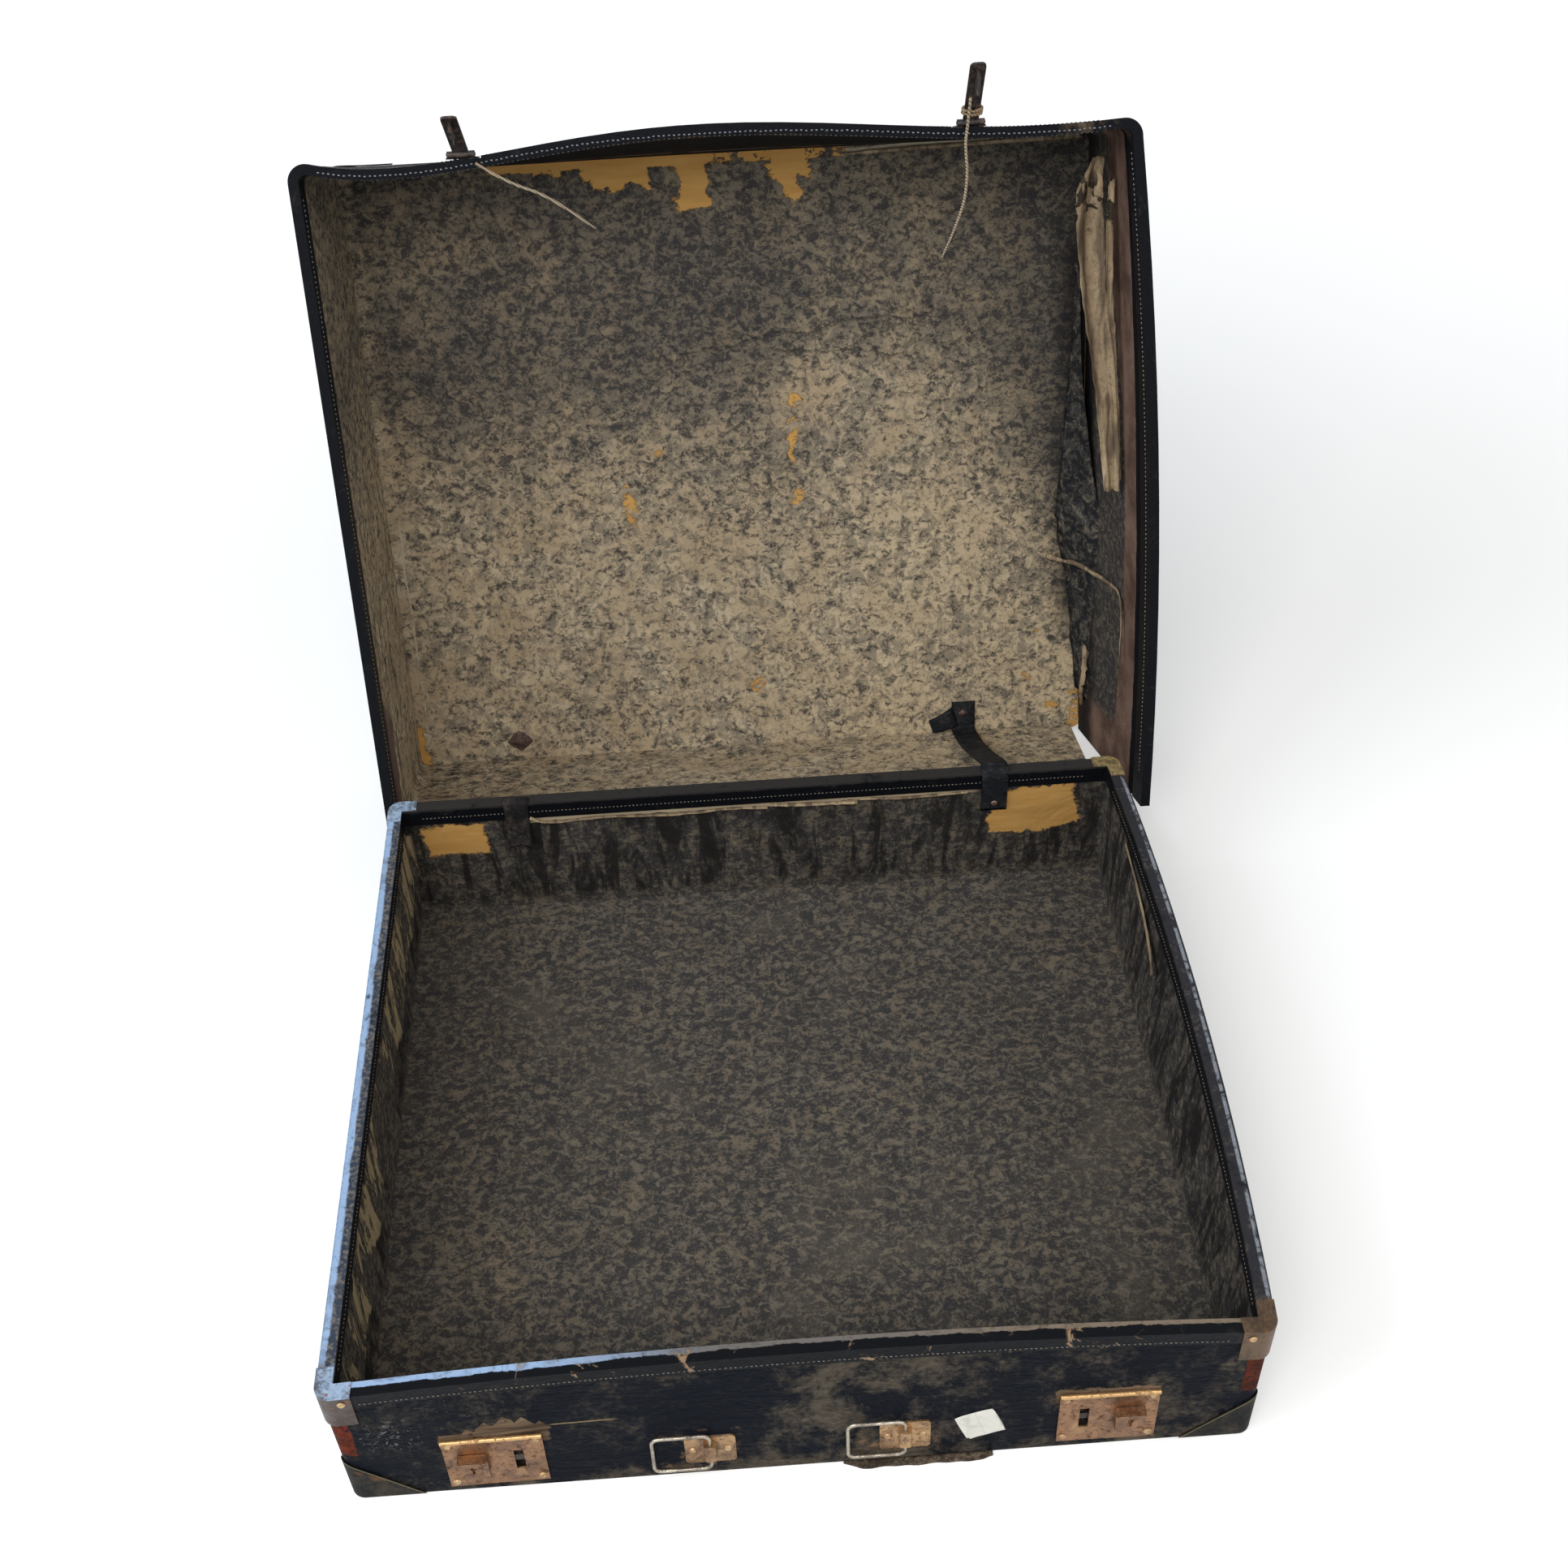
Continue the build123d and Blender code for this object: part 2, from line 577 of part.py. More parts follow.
def handle_loop(side, x):
    """Riveted plate with a bridge, and the wire loop that turns in the bridge."""
    place = front_plane(x, loop_z).location
    half_w, half_h = handle_plate_width / 2, handle_plate_height / 2
    wire_z = handle_plate_thickness + loop_wire_radius + 0.6
    plate = block(-half_w, half_w, -half_h, half_h, glue_line, handle_plate_thickness)
    plate = fillet(plate.edges().filter_by(Axis.Z), 3.0)
    top = wire_z + loop_wire_radius + 1.2
    bridge = block(-bridge_width / 2, bridge_width / 2, -bridge_length / 2, bridge_length / 2, glue_line, top)
    bridge = fillet(bridge.edges().filter_by(Axis.Y).group_by(Axis.Z)[-1], 1.8)
    bore = Pos(0, 0, wire_z) * Rotation(90, 0, 0) * Cylinder(loop_wire_radius + pin_clearance, bridge_length + 2)
    nodes[f"handle_plate_{side}"] = [place * (plate + bridge - bore)]
    bedded(place * block(-half_w - 1, half_w + 1, -half_h - 1, half_h + 1, 0, 3), ["base_side_covering"])
    half_l = loop_height / 2
    path = FilletPolyline((0, -half_l), (0, half_l), (-loop_length, half_l), (-loop_length, -half_l),
                          radius=loop_corner_radius, close=True)
    section = Plane(path @ 0, z_dir=path % 0) * Circle(loop_wire_radius)
    wire = sweep(section, path=path)
    nodes[f"handle_loop_{side}"] = [place * (Pos(0, 0, wire_z) * wire)]
    ends = [place * Pos(u * (half_w - 5), 0, handle_plate_thickness) for u in (-1, 1)]
    riveted("handle_rivets", ends, 5.0, [f"handle_plate_{side}", "base_side_covering", "base_front_wall"])


def lid_front_plane(x, z):
    """Plane on the binding of the lid's leaning front, closed: x along the wall, y up it, z outwards."""
    along = 0.5 + x / (2 * (lid_half_width - lid_corner_radius))
    order = len(front_warp) + 1
    warp = sum(
        math.comb(order, index) * along**index * (1 - along) ** (order - index) * bow
        for index, bow in enumerate(front_warp, 1)
    )
    height = lid_depth + top_over
    share = 1 - (z - lid_rim_z) / height
    y = -lid_front_at(share) - leg - warp * share
    return Plane((x, y, z), x_dir=(1, 0, 0), z_dir=(0, -1, (lid_front_lean + warp) / height))


def hasp(side, sign, angle):
    """Hinged hasp on the lid's front: fixed plate, pin and the swinging tongue with its staple."""
    plane = lid_front_plane(sign * hasp_x, lid_rim_z + hasp_pivot_rise)
    place = plane.location
    axis_out = hasp_plate_thickness + hasp_knuckle_radius - 0.6
    pivot = plane.from_local_coords(Vector(0, 0, axis_out))
    half_w, half = hasp_plate_width / 2, hasp_width / 2
    plate = block(-half_w, half_w, 0, hasp_plate_height, glue_line, hasp_plate_thickness)
    plate = fillet(plate.edges().filter_by(Axis.Z), 3.0)
    turn = Rotation(0, 90, 0)
    bore = turn * Cylinder(hasp_pin_radius + pin_clearance, far)
    for sx in (-1, 1):
        plate += Pos(sx * (half + 2.2), 0, axis_out) * turn * Cylinder(hasp_knuckle_radius, 3.8)
    room = block(-half - fit_gap, half + fit_gap, -hasp_knuckle_radius - 1, hasp_knuckle_radius + 0.6, -far, far)
    nodes[f"hasp_plate_{side}"] = [place * (plate - room - Pos(0, 0, axis_out) * bore)]
    pin = turn * Cylinder(hasp_pin_radius, 2 * (half + 4.6))
    nodes.setdefault("hasp_pins", []).append(Pos(*pivot) * pin)
    seat = block(-half_w - 3, half_w + 3, -hasp_pivot_rise - 1, hasp_plate_height + 1, 0, 4)
    bedded(place * seat, ["lid_rim_binding", "lid_covering"])
    lock_face = front_plane(hasp_x, lock_z).origin.Y - pivot.Y
    staple_z = lock_z - pivot.Z
    reach, drop = lock_face - hasp_standoff, hasp_overlap - staple_z
    lean = math.degrees(math.atan2(reach, drop))
    front = -hasp_knuckle_radius
    tongue = block(-half, half, front, front + hasp_thickness, -math.hypot(reach, drop), 0)
    tongue = fillet(tongue.edges().filter_by(Axis.Y).group_by(Axis.Z)[0], 3.5)
    behind = block(-far, far, front + hasp_thickness / 2, far, -far, far)
    tip = lock_face + staple_depth
    staple = block(-staple_thickness / 2, staple_thickness / 2, -far, tip, staple_z - staple_height / 2,
                   staple_z + staple_height / 2)
    eye = block(-far, far, lock_face - 0.3, tip - 1.2, staple_z - eye_height / 2, staple_z + eye_height / 2)
    tongue = Rotation(lean, 0, 0) * tongue + ((staple & Rotation(lean, 0, 0) * behind) - eye)
    tongue = tongue + turn * Cylinder(hasp_knuckle_radius, hasp_width) - bore
    nodes[f"hasp_{side}"] = [Pos(*pivot) * Rotation(-lean - angle, 0, 0) * tongue]
    holes = [place * Pos(dx, hasp_plate_height - 5, hasp_plate_thickness) for dx in (-6, 6)]
    riveted("hasp_rivets", holes, 4.0,
            [f"hasp_plate_{side}", "lid_rim_binding", "lid_covering", "lid_front_wall"])
    return pivot.Y, pivot.Z, lean


def stays():
    """Leather stay on the right, over the rim; on the left only its torn lower end hangs in the base."""
    inner = half_depth - base_wall - leg - fit_gap
    top = base_height + fit_gap
    low = inner - stay_thickness
    edge = half_depth + leg + 1.0
    for side, sign, drop, reach in (("right", 1, stay_drop, edge), ("left", -1, torn_stay_drop, half_depth - 3.0)):
        x0, x1 = sign * stay_x - stay_width / 2, sign * stay_x + stay_width / 2
        strap = block(x0, x1, low, inner, top - drop, top) + block(x0, x1, low, reach, top, top + stay_thickness)
        nodes[f"stay_strap_{side}"] = [strap]
        place = Plane((sign * stay_x, low, top - drop + 7.0), x_dir=(1, 0, 0), z_dir=(0, -1, 0)).location
        riveted("stay_base_rivets", [place], 8.0, [f"stay_strap_{side}", "base_lining", "base_back_wall"])
    foot = Vector(0, lid_back - lid_wall - fit_gap - hinge_y, lid_underside - lining_thickness - 8.0 - hinge_z)
    foot = foot.rotate(Axis.X, -lid_open_angle)
    foot = (hinge_y + foot.Y, hinge_z + foot.Z)
    start = (edge + fit_gap, top)
    slope = math.atan2(foot[1] - start[1], foot[0] - start[0])
    across = (-math.sin(slope) * stay_thickness, math.cos(slope) * stay_thickness)
    corners = [start, foot, (foot[0] + across[0], foot[1] + across[1]),
               (start[0] + across[0], start[1] + across[1])]
    profile = Plane.YZ * make_face(Polyline(*corners, close=True))
    nodes["stay_strap_upper"] = [Pos(stay_x - stay_width / 2, 0, 0) * extrude(profile, stay_width)]


def washers():
    """Diamond washers of the stays on the lid's panel, each under its rivet."""
    nodes["stay_washers"] = []
    z = lid_underside - lining_thickness - glue_line
    y = lid_back - lid_wall - 16.0
    for sign in (-1, 1):
        plane = Plane((sign * stay_x, y, z), x_dir=(1, 0, 0), z_dir=(0, 0, -1))
        diamond = extrude(RegularPolygon(washer_radius, 4), washer_thickness)
        nodes["stay_washers"].append(plane.location * diamond)
        head = plane.offset(washer_thickness).location
        riveted("stay_lid_rivets", [head], 4.0, ["stay_washers", "lid_lining", "lid_panel"])


def paper_label():
    place = front_plane(label_x, label_z).location
    sheet = Rotation(0, 0, label_turn) * block(-label_width / 2, label_width / 2, -label_height / 2,
                                                label_height / 2, glue_line, glue_line + label_thickness)
    nodes["paper_label"] = [place * sheet]


def loose_strips():
    """Peeled hem below the front edge, and the lining strip that hangs along the lid's right wall."""
    y = -half_depth - glue_line
    start = edge_strip_to - edge_strip_length
    nodes["loose_edge_strip"] = [block(start, edge_strip_to, y - edge_strip_reach, y, 0, edge_strip_thickness)]
    corners = [(lid_half_width - inwards, back - lid_front) for inwards, back in peeled_reach]
    edge = Plane.XY.offset(lid_rim_z + peeled_depth) * make_face(Polyline(*corners, close=True))
    nodes["peeled_lining_strip"] = [extrude(edge, peeled_thickness)]


def tied_strings():
    """Two stiff ends of string hung on the hasps, in the open place."""
    for side, points in (("left", string_left_points), ("right", string_right_points)):
        radii = []
        for before, corner, after in zip(points, points[1:], points[2:]):
            first, second = Vector(*corner) - Vector(*before), Vector(*after) - Vector(*corner)
            half_turn = math.radians(first.get_angle(second)) / 2
            radii.append(round(0.45 * min(first.length, second.length) / math.tan(half_turn), 3))
        path = FilletPolyline(*points, radius=radii)
        section = Plane(path @ 0, z_dir=path % 0) * Circle(string_diameter / 2)
        nodes[f"string_{side}"] = [sweep(section, path=path)]
        print("string", side, points, radii)


base_shell()
rim_caps()
lid_shell()
corner_guards()
hinges()
for side, sign in (("left", -1), ("right", 1)):
    lock(side, sign)
handle_loop("left", loop_left_x)
handle_loop("right", loop_right_x)
hasp_pivots = [hasp("left", -1, hasp_left_angle), hasp("right", 1, hasp_right_angle)]
stays()
washers()
paper_label()
loose_strips()
for name in nodes:
    if name.startswith(lid_names):
        nodes[name] = [opened(shape) for shape in nodes[name]]
tied_strings()

os.makedirs("parts", exist_ok=True)
for name, shapes in nodes.items():
    solids = [solid for shape in shapes for solid in shape.solids()]
    export_step(solids[0] if len(solids) == 1 else Compound(children=solids), f"parts/{name}.step")
print("hinge axis", round(hinge_y, 3), round(hinge_z, 3), "lid front", round(lid_front, 2), "room", round(lid_room, 2))
print("hasp pivots and lean, closed", [tuple(round(v, 3) for v in pivot) for pivot in hasp_pivots])
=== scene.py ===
"""Looks of an old accordion case standing open: camera, strings, soft pieces, materials and light."""

import math

import bmesh
import bpy
from mathutils import Matrix, Vector, noise
from mathutils.bvhtree import BVHTree


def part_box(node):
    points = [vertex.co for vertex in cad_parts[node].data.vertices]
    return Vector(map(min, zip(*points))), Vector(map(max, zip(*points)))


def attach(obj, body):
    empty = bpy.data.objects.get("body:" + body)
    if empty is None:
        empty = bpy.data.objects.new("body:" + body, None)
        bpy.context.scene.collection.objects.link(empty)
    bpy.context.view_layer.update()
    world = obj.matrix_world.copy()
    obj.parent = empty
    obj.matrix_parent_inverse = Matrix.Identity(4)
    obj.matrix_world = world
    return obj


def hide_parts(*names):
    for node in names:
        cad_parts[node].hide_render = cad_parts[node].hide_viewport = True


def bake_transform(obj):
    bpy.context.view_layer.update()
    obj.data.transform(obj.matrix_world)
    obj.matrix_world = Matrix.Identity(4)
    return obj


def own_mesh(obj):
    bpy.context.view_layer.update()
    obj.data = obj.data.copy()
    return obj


MM = 0.001

# The case's driving sizes, in millimetres with the lid shut
HINGE = Vector((0.0, 257.0, 67.5)) * MM
OPEN = math.radians(107.5)
BASE_HALF_WIDTH, BASE_HALF_DEPTH = 285.0, 253.0
FRONT_BOW, RIGHT_BOW = 8.0, 10.0
LID_HALF_WIDTH, LID_FRONT, LID_BACK = 294.7, 270.0, 262.7
STAY_X = 188.0

LID_TURN = Matrix.Rotation(-OPEN, 3, "X")
ACROSS = Vector((1, 0, 0))
UPWARDS = Vector((0, 0, 1))
LID_BACKWARDS = LID_TURN @ Vector((0, 1, 0))
LID_UPWARDS = LID_TURN @ UPWARDS

CAMERA_PLACE = (-0.0146, -0.8384, 1.1422)
CAMERA_TURN = (46.78, 1.7387, -3.5644)
CAMERA_LENS = 43.722

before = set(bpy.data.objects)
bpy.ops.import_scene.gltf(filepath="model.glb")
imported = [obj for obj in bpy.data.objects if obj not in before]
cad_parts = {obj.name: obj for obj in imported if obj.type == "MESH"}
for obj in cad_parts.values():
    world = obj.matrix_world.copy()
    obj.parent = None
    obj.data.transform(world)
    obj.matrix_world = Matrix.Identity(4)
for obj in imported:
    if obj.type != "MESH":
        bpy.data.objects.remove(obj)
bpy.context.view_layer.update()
scene = bpy.context.scene


def link(name, data):
    made = bpy.data.objects.new(name, data)
    scene.collection.objects.link(made)
    return made


def opened(x, y, z):
    """Point in millimetres with the lid shut, given back in metres with the lid open."""
    return HINGE + LID_TURN @ (Vector((x, y, z)) * MM - HINGE)


def placed(x, y, z):
    return Vector((x, y, z)) * MM


def on_lid_line(*points):
    return [opened(*point) for point in points]


def on_base_line(*points):
    return [placed(*point) for point in points]


# Camera at the photograph's place
camera_data = bpy.data.cameras.new("camera")
camera_data.lens = CAMERA_LENS
camera = link("camera", camera_data)
camera.location = CAMERA_PLACE
camera.rotation_euler = [math.radians(angle) for angle in CAMERA_TURN]
scene.camera = camera


class Val:
    """A node socket; arithmetic on it adds Math nodes."""

    def __init__(self, paint, socket):
        self.paint, self.socket = paint, socket

    def op(self, name, *others):
        made = self.paint.tree.nodes.new("ShaderNodeMath")
        made.operation = name
        for index, value in enumerate((self, *others)):
            self.paint.put(made.inputs[index], value)
        return Val(self.paint, made.outputs[0])

    def __add__(self, other):
        return self.op("ADD", other)

    def __sub__(self, other):
        return self.op("SUBTRACT", other)

    def __mul__(self, other):
        return self.op("MULTIPLY", other)

    def __truediv__(self, other):
        return self.op("DIVIDE", other)

    def __pow__(self, other):
        return self.op("POWER", other)

    def __neg__(self):
        return self.op("MULTIPLY", -1.0)

    def __rsub__(self, other):
        return -self + other

    __radd__, __rmul__ = __add__, __mul__

    def __abs__(self):
        return self.op("ABSOLUTE")

    def __or__(self, other):
        return self.op("MAXIMUM", other)

    def __and__(self, other):
        return self.op("MINIMUM", other)

    def __invert__(self):
        return 1.0 - self

    def edge(self, low, high):
        """Smooth step from 0 at low to 1 at high."""
        return self.paint.node("MapRange", {"interpolation_type": "SMOOTHSTEP"}, Value=self,
                               From_Min=low, From_Max=high)

    def within(self, low, high, soft):
        """1 between low and high, falling off over soft on both sides."""
        return self.edge(low - soft, low + soft) * ~self.edge(high - soft, high + soft)


def length_of(first, second):
    return (first**2.0 + second**2.0).op("SQRT")


class Paint:
    """One procedural material."""

    def __init__(self, name, roughness=0.6, metallic=0.0, specular=0.04, on_lid=False):
        self.material = bpy.data.materials.new(name)
        self.material.use_nodes = True
        self.tree = self.material.node_tree
        self.shader = self.tree.nodes["Principled BSDF"]
        self.set(Roughness=roughness, Metallic=metallic)
        self.shader.inputs["Specular IOR Level"].default_value = specular
        self.place = self.node("TexCoord", output=3)
        if on_lid:
            self.shut = self.node("VectorRotate", {"rotation_type": "X_AXIS"}, Vector=self.place,
                                  Center=tuple(HINGE), Angle=OPEN)
        else:
            self.shut = self.place

    def set(self, **values):
        for name, value in values.items():
            self.put(self.shader.inputs[name.replace("_", " ")], value)

    def put(self, socket, value):
        if isinstance(value, Val):
            self.tree.links.new(value.socket, socket)
        elif isinstance(value, tuple) and len(value) == 3 and socket.type == "RGBA":
            socket.default_value = (*value, 1)
        else:
            socket.default_value = value

    def node(self, kind, settings=None, output=0, **inputs):
        made = self.tree.nodes.new("ShaderNode" + kind)
        for name, value in (settings or {}).items():
            setattr(made, name, value)
        for name, value in inputs.items():
            self.put(made.inputs[name.replace("_", " ")], value)
        return Val(self, made.outputs[output])

    def stretched(self, place, x, y, z):
        made = self.tree.nodes.new("ShaderNodeVectorMath")
        made.operation = "MULTIPLY"
        self.put(made.inputs[0], place)
        made.inputs[1].default_value = (x, y, z)
        return Val(self, made.outputs[0])

    def axes(self):
        """Coordinates in metres, on the lid as they are when it is shut."""
        split = self.tree.nodes.new("ShaderNodeSeparateXYZ")
        self.put(split.inputs[0], self.shut)
        return [Val(self, socket) for socket in split.outputs]

    def noise(self, scale, detail=3.0, roughness=0.55, distortion=0.0, place=None):
        return self.node("TexNoise", Vector=place or self.place, Scale=scale, Detail=detail,
                         Roughness=roughness, Distortion=distortion)

    def cells(self, scale, feature="F1"):
        return self.node("TexVoronoi", {"feature": feature}, Vector=self.place, Scale=scale)

    def mix(self, factor, low, high):
        made = self.tree.nodes.new("ShaderNodeMix")
        made.data_type = "RGBA"
        self.put(made.inputs[0], factor)
        self.put(made.inputs[6], low)
        self.put(made.inputs[7], high)
        return Val(self, made.outputs[2])

    def finish(self, colour, roughness, metallic=None, bumps=()):
        """Wire the results; bumps are pairs of a height and its depth in metres."""
        self.set(Base_Color=colour, Roughness=roughness)
        if metallic is not None:
            self.set(Metallic=metallic)
        normal = None
        for height, depth in bumps:
            made = self.tree.nodes.new("ShaderNodeBump")
            made.inputs["Distance"].default_value = depth
            self.put(made.inputs["Height"], height)
            if normal:
                self.put(made.inputs["Normal"], normal)
            normal = Val(self, made.outputs[0])
        if normal:
            self.set(Normal=normal)
        return self.material


def paint_nodes(material, *names):
    for name in names:
        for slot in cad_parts[name].material_slots:
            slot.link = "OBJECT"
            slot.material = material


def leathercloth(name, on_lid=False):
    """Grained blue-black cloth with creases, brown dust, scuffs and bare board where it has torn."""
    ink, dust = (0.0062, 0.0078, 0.0120), (0.098, 0.080, 0.060)
    p = Paint(name, roughness=0.5, specular=0.015, on_lid=on_lid)
    x, y, z = p.axes()
    broad = p.noise(7.0, 4.0, 0.6)
    middle = p.noise(38.0, 5.0, 0.68, 0.6)
    fine = p.noise(260.0, 3.0, 0.7)
    creases = p.noise(30.0, 4.0, 0.6, 1.6, p.stretched(p.shut, 0.45, 1.0, 2.2))
    crease = ~(abs(creases - 0.5) * 9.0).edge(0.0, 1.0)
    scratch = p.noise(60.0, 2.0, 0.5, 2.4, p.stretched(p.shut, 2.2, 1.0, 0.7))
    scratch = ~(abs(scratch - 0.52) * 90.0).edge(0.0, 1.0) * broad.edge(0.52, 0.66) * fine.edge(0.4, 0.6)
    clouds = p.noise(19.0, 5.0, 0.66, 0.3)
    dusty = (middle * 0.45 + clouds * 0.35 + fine * 0.35 + broad * 0.1).edge(0.60, 0.92)
    if not on_lid:
        rubbed = middle * 0.45 + clouds * 0.55 + fine * 0.28 + z.edge(0.022, 0.0) * 0.13
        front = (x.within(-0.02, 0.12, 0.08) | x.within(0.155, 0.24, 0.03) * 0.5) * (-y).edge(0.15, 0.22)
        dusty = dusty | (rubbed + front * 0.10).edge(0.66, 0.90)
    colour = p.mix(dusty * 0.78, ink, dust)
    colour = p.mix(crease * 0.25 * dusty, colour, (0.16, 0.135, 0.10))
    colour = p.mix(scratch * 0.35, colour, (0.22, 0.20, 0.175))
    bumps = [(p.cells(620.0), 0.00016), (fine, 0.0002), (crease, -0.0005), (middle, 0.0014)]
    if on_lid:
        return p.finish(colour, dusty * 0.3 + 0.42, bumps=bumps)

    # Bare board over the left lock, beside the right lock and round the handle fittings
    torn = p.noise(110.0, 4.0, 0.7)
    ragged_x = x + (middle - 0.5) * 0.012 + (torn - 0.5) * 0.008
    ragged_z = z + (torn - 0.5) * 0.010
    facing = (-y).edge(0.2, 0.23)
    bare = ragged_x.within(-0.224, -0.156, 0.0006) * z.within(0.05, 0.0655, 0.001)
    rounds = ((-193, 64, 13), (-181, 68, 13.5), (-170, 67, 12), (-160, 64, 9), (-204, 60, 11))
    for torn_x, torn_z, radius in rounds:
        away = abs(x - torn_x * MM + (torn - 0.5) * 0.005) * 1.25 + abs(z - torn_z * MM)
        bare = bare | ~away.edge((radius - 0.6) * MM, radius * MM) * z.edge(0.05, 0.051)
    bare = bare | ragged_x.within(0.158, 0.222, 0.001) * ragged_z.within(0.05, 0.0645, 0.001)
    rubbed_off = ragged_x.within(-0.090, -0.040, 0.004) | ragged_x.within(0.035, 0.084, 0.004)
    rubbed_off = rubbed_off * ragged_z.within(0.006, 0.049, 0.003)
    bare = bare | rubbed_off * (torn * 0.6 + clouds * 0.4).edge(0.50, 0.56)
    bare = bare * facing * ((torn * 0.5 + fine * 0.5).edge(0.36, 0.44) * 0.6 + 0.4)

    # Red cloth showing at the front corners
    turned = ((torn - 0.5) * 0.012 - y).edge(0.2395, 0.2405)
    corner = abs(x + (middle - 0.5) * 0.006).edge(0.2718, 0.2726) * turned
    corner = corner * ragged_z.within(0.053, 0.095, 0.0015) * (fine * 0.6 + middle * 0.4).edge(0.40, 0.50)

    # Scratch beside the left lock and scuffs in the left corner
    line = (abs(z - 0.0672) / 0.0007 - 0.3).edge(1.0, 0.0) * ragged_x.within(-0.155, -0.114, 0.004)
    colour = p.mix(line * facing * 0.7, colour, (0.30, 0.22, 0.11))
    scuff = p.noise(150.0, 2.0, 0.5, 3.0).edge(0.6, 0.68)
    scuff = scuff * x.within(-0.268, -0.235, 0.008) * z.within(0.055, 0.088, 0.006)
    colour = p.mix(scuff * facing * 0.6, colour, (0.24, 0.235, 0.23))
    grain = p.noise(30.0, 4.0, 0.6, 0.4, p.stretched(p.shut, 0.35, 1.0, 4.0))
    wood = p.mix(grain.edge(0.35, 0.65), (0.060, 0.041, 0.029), (0.175, 0.118, 0.075))
    red = p.mix((middle * 0.6 + fine * 0.4).edge(0.40, 0.58), (0.235, 0.042, 0.018), (0.045, 0.020, 0.015))
    colour = p.mix(corner, p.mix(bare, colour, wood), red)
    bare = bare | corner
    return p.finish(colour, (dusty * 0.3 + 0.42) | (bare * 0.85), bumps=bumps + [(bare, -0.0007)])


class Lining(Paint):
    """Paper lining printed like granite, grey-black on tan, torn to the bare board in places."""

    def __init__(self, name, on_lid=True):
        super().__init__(name, roughness=0.85, on_lid=on_lid)
        self.x, self.y, self.z = self.axes()
        self.broad = self.noise(6.5, 4.0, 0.6, 0.3)
        self.patch = self.noise(24.0, 4.0, 0.62)
        self.flock = self.noise(150.0, 5.0, 0.66, 0.7, self.stretched(self.shut, 0.85, 1.05, 1.0))
        self.fine = self.noise(420.0, 3.0, 0.65, 0.5)
        self.ragged = (self.patch - 0.5) * 0.03 + (self.flock - 0.5) * 0.012

    def printed(self, dark, warm=None):
        """The print's colour; dark deepens it and warm lightens the tan ground."""
        ground = self.mix(self.patch.edge(0.35, 0.7), (0.345, 0.265, 0.170), (0.49, 0.40, 0.275))
        if warm:
            ground = self.mix(warm, ground, (0.60, 0.47, 0.30))
        ground = self.mix(dark.edge(0.0, 1.7) * 0.86, ground, (0.088, 0.072, 0.055))
        strokes = self.noise(118.0, 4.0, 0.62, 0.9, self.stretched(self.shut, 1.0, 0.8, 1.0))
        middle = (strokes * 0.75 + self.patch * 0.25 + dark * 0.03).edge(0.44, 0.60)
        ground = self.mix(middle * 0.62, ground, (0.118, 0.103, 0.083))
        wisps = self.noise(270.0, 4.0, 0.7, 1.2)
        speck = (self.flock * 0.60 + wisps * 0.40 + dark * 0.036).edge(0.465, 0.62)
        speck = speck * (self.fine * 0.6 + 0.68) & 1.0
        colour = self.mix(speck * 0.88, ground, (0.020, 0.021, 0.025))
        haze = self.noise(520.0, 2.0, 0.6).edge(0.5, 0.72) * 0.22
        return self.mix(haze, colour, (0.15, 0.135, 0.11))

    def done(self, colour, bare=None):
        """Finish, with the board showing where bare is 1."""
        bumps = [(self.fine, 0.00025), (self.flock, 0.0003), (self.noise(15.0, 3.0, 0.55, 0.7), 0.0035)]
        if bare:
            grain = self.noise(45.0, 4.0, 0.6, 0.5, self.stretched(self.shut, 0.4, 3.0, 3.0))
            colour = self.mix(bare, colour, self.mix(grain, (0.36, 0.175, 0.042), (0.56, 0.335, 0.115)))
            bumps.append((bare, -0.0006))
        return self.finish(colour, 0.86, bumps=bumps)


def panel_bare(p):
    """Where the board shows on the lid's panel: along the front, at the hinge corners and in spots."""
    x, y, ragged = p.x, p.y, p.ragged
    ragged_x, ragged_y = x + ragged, y + ragged
    bare = ragged_x.within(-0.175, 0.10, 0.001) * (y + ragged * 0.35).within(-0.262, -0.2350, 0.0006)
    bare = bare * ~((p.patch * 0.5 + p.flock * 0.5).edge(0.50, 0.53) * x.within(-0.01, 0.12, 0.02))
    tongues = ((-100, -54, 222), (-92, -70, 216), (-36, -7, 205), (43, 69, 223.5), (47, 62, 212),
               (-140, -118, 230.5))
    for left, right, reach in tongues:
        tongue = (x + ragged * 1.4).within(left * MM, right * MM, 0.001)
        bare = bare | tongue * (y + ragged * 1.5).within(-0.25, -reach * MM, 0.001)
    spots = ((49, -50, 6, 7), (50, -14, 4, 22), (52, 36, 7, 10), (-87, 34, 6, 18), (11, 202, 9, 8),
             (-64, -12, 6, 4), (240, 205, 4, 4), (262, 236, 8, 4), (252, 168, 3, 2), (286, 226, 5, 5))
    for spot_x, spot_y, wide, tall in spots:
        away = length_of((ragged_x - spot_x * MM) / (wide * MM), (ragged_y - spot_y * MM) / (tall * MM))
        bare = bare | ~away.edge(0.8, 1.0) * p.flock.edge(0.44, 0.54)
    bare = bare | ragged_x.within(-0.30, -0.283, 0.001) * ragged_y.within(0.222, 0.27, 0.002)
    right_corner = ragged_x.within(0.282, 0.31, 0.002) * ragged_y.within(0.236, 0.27, 0.002)
    return bare | right_corner * p.flock.edge(0.44, 0.52)


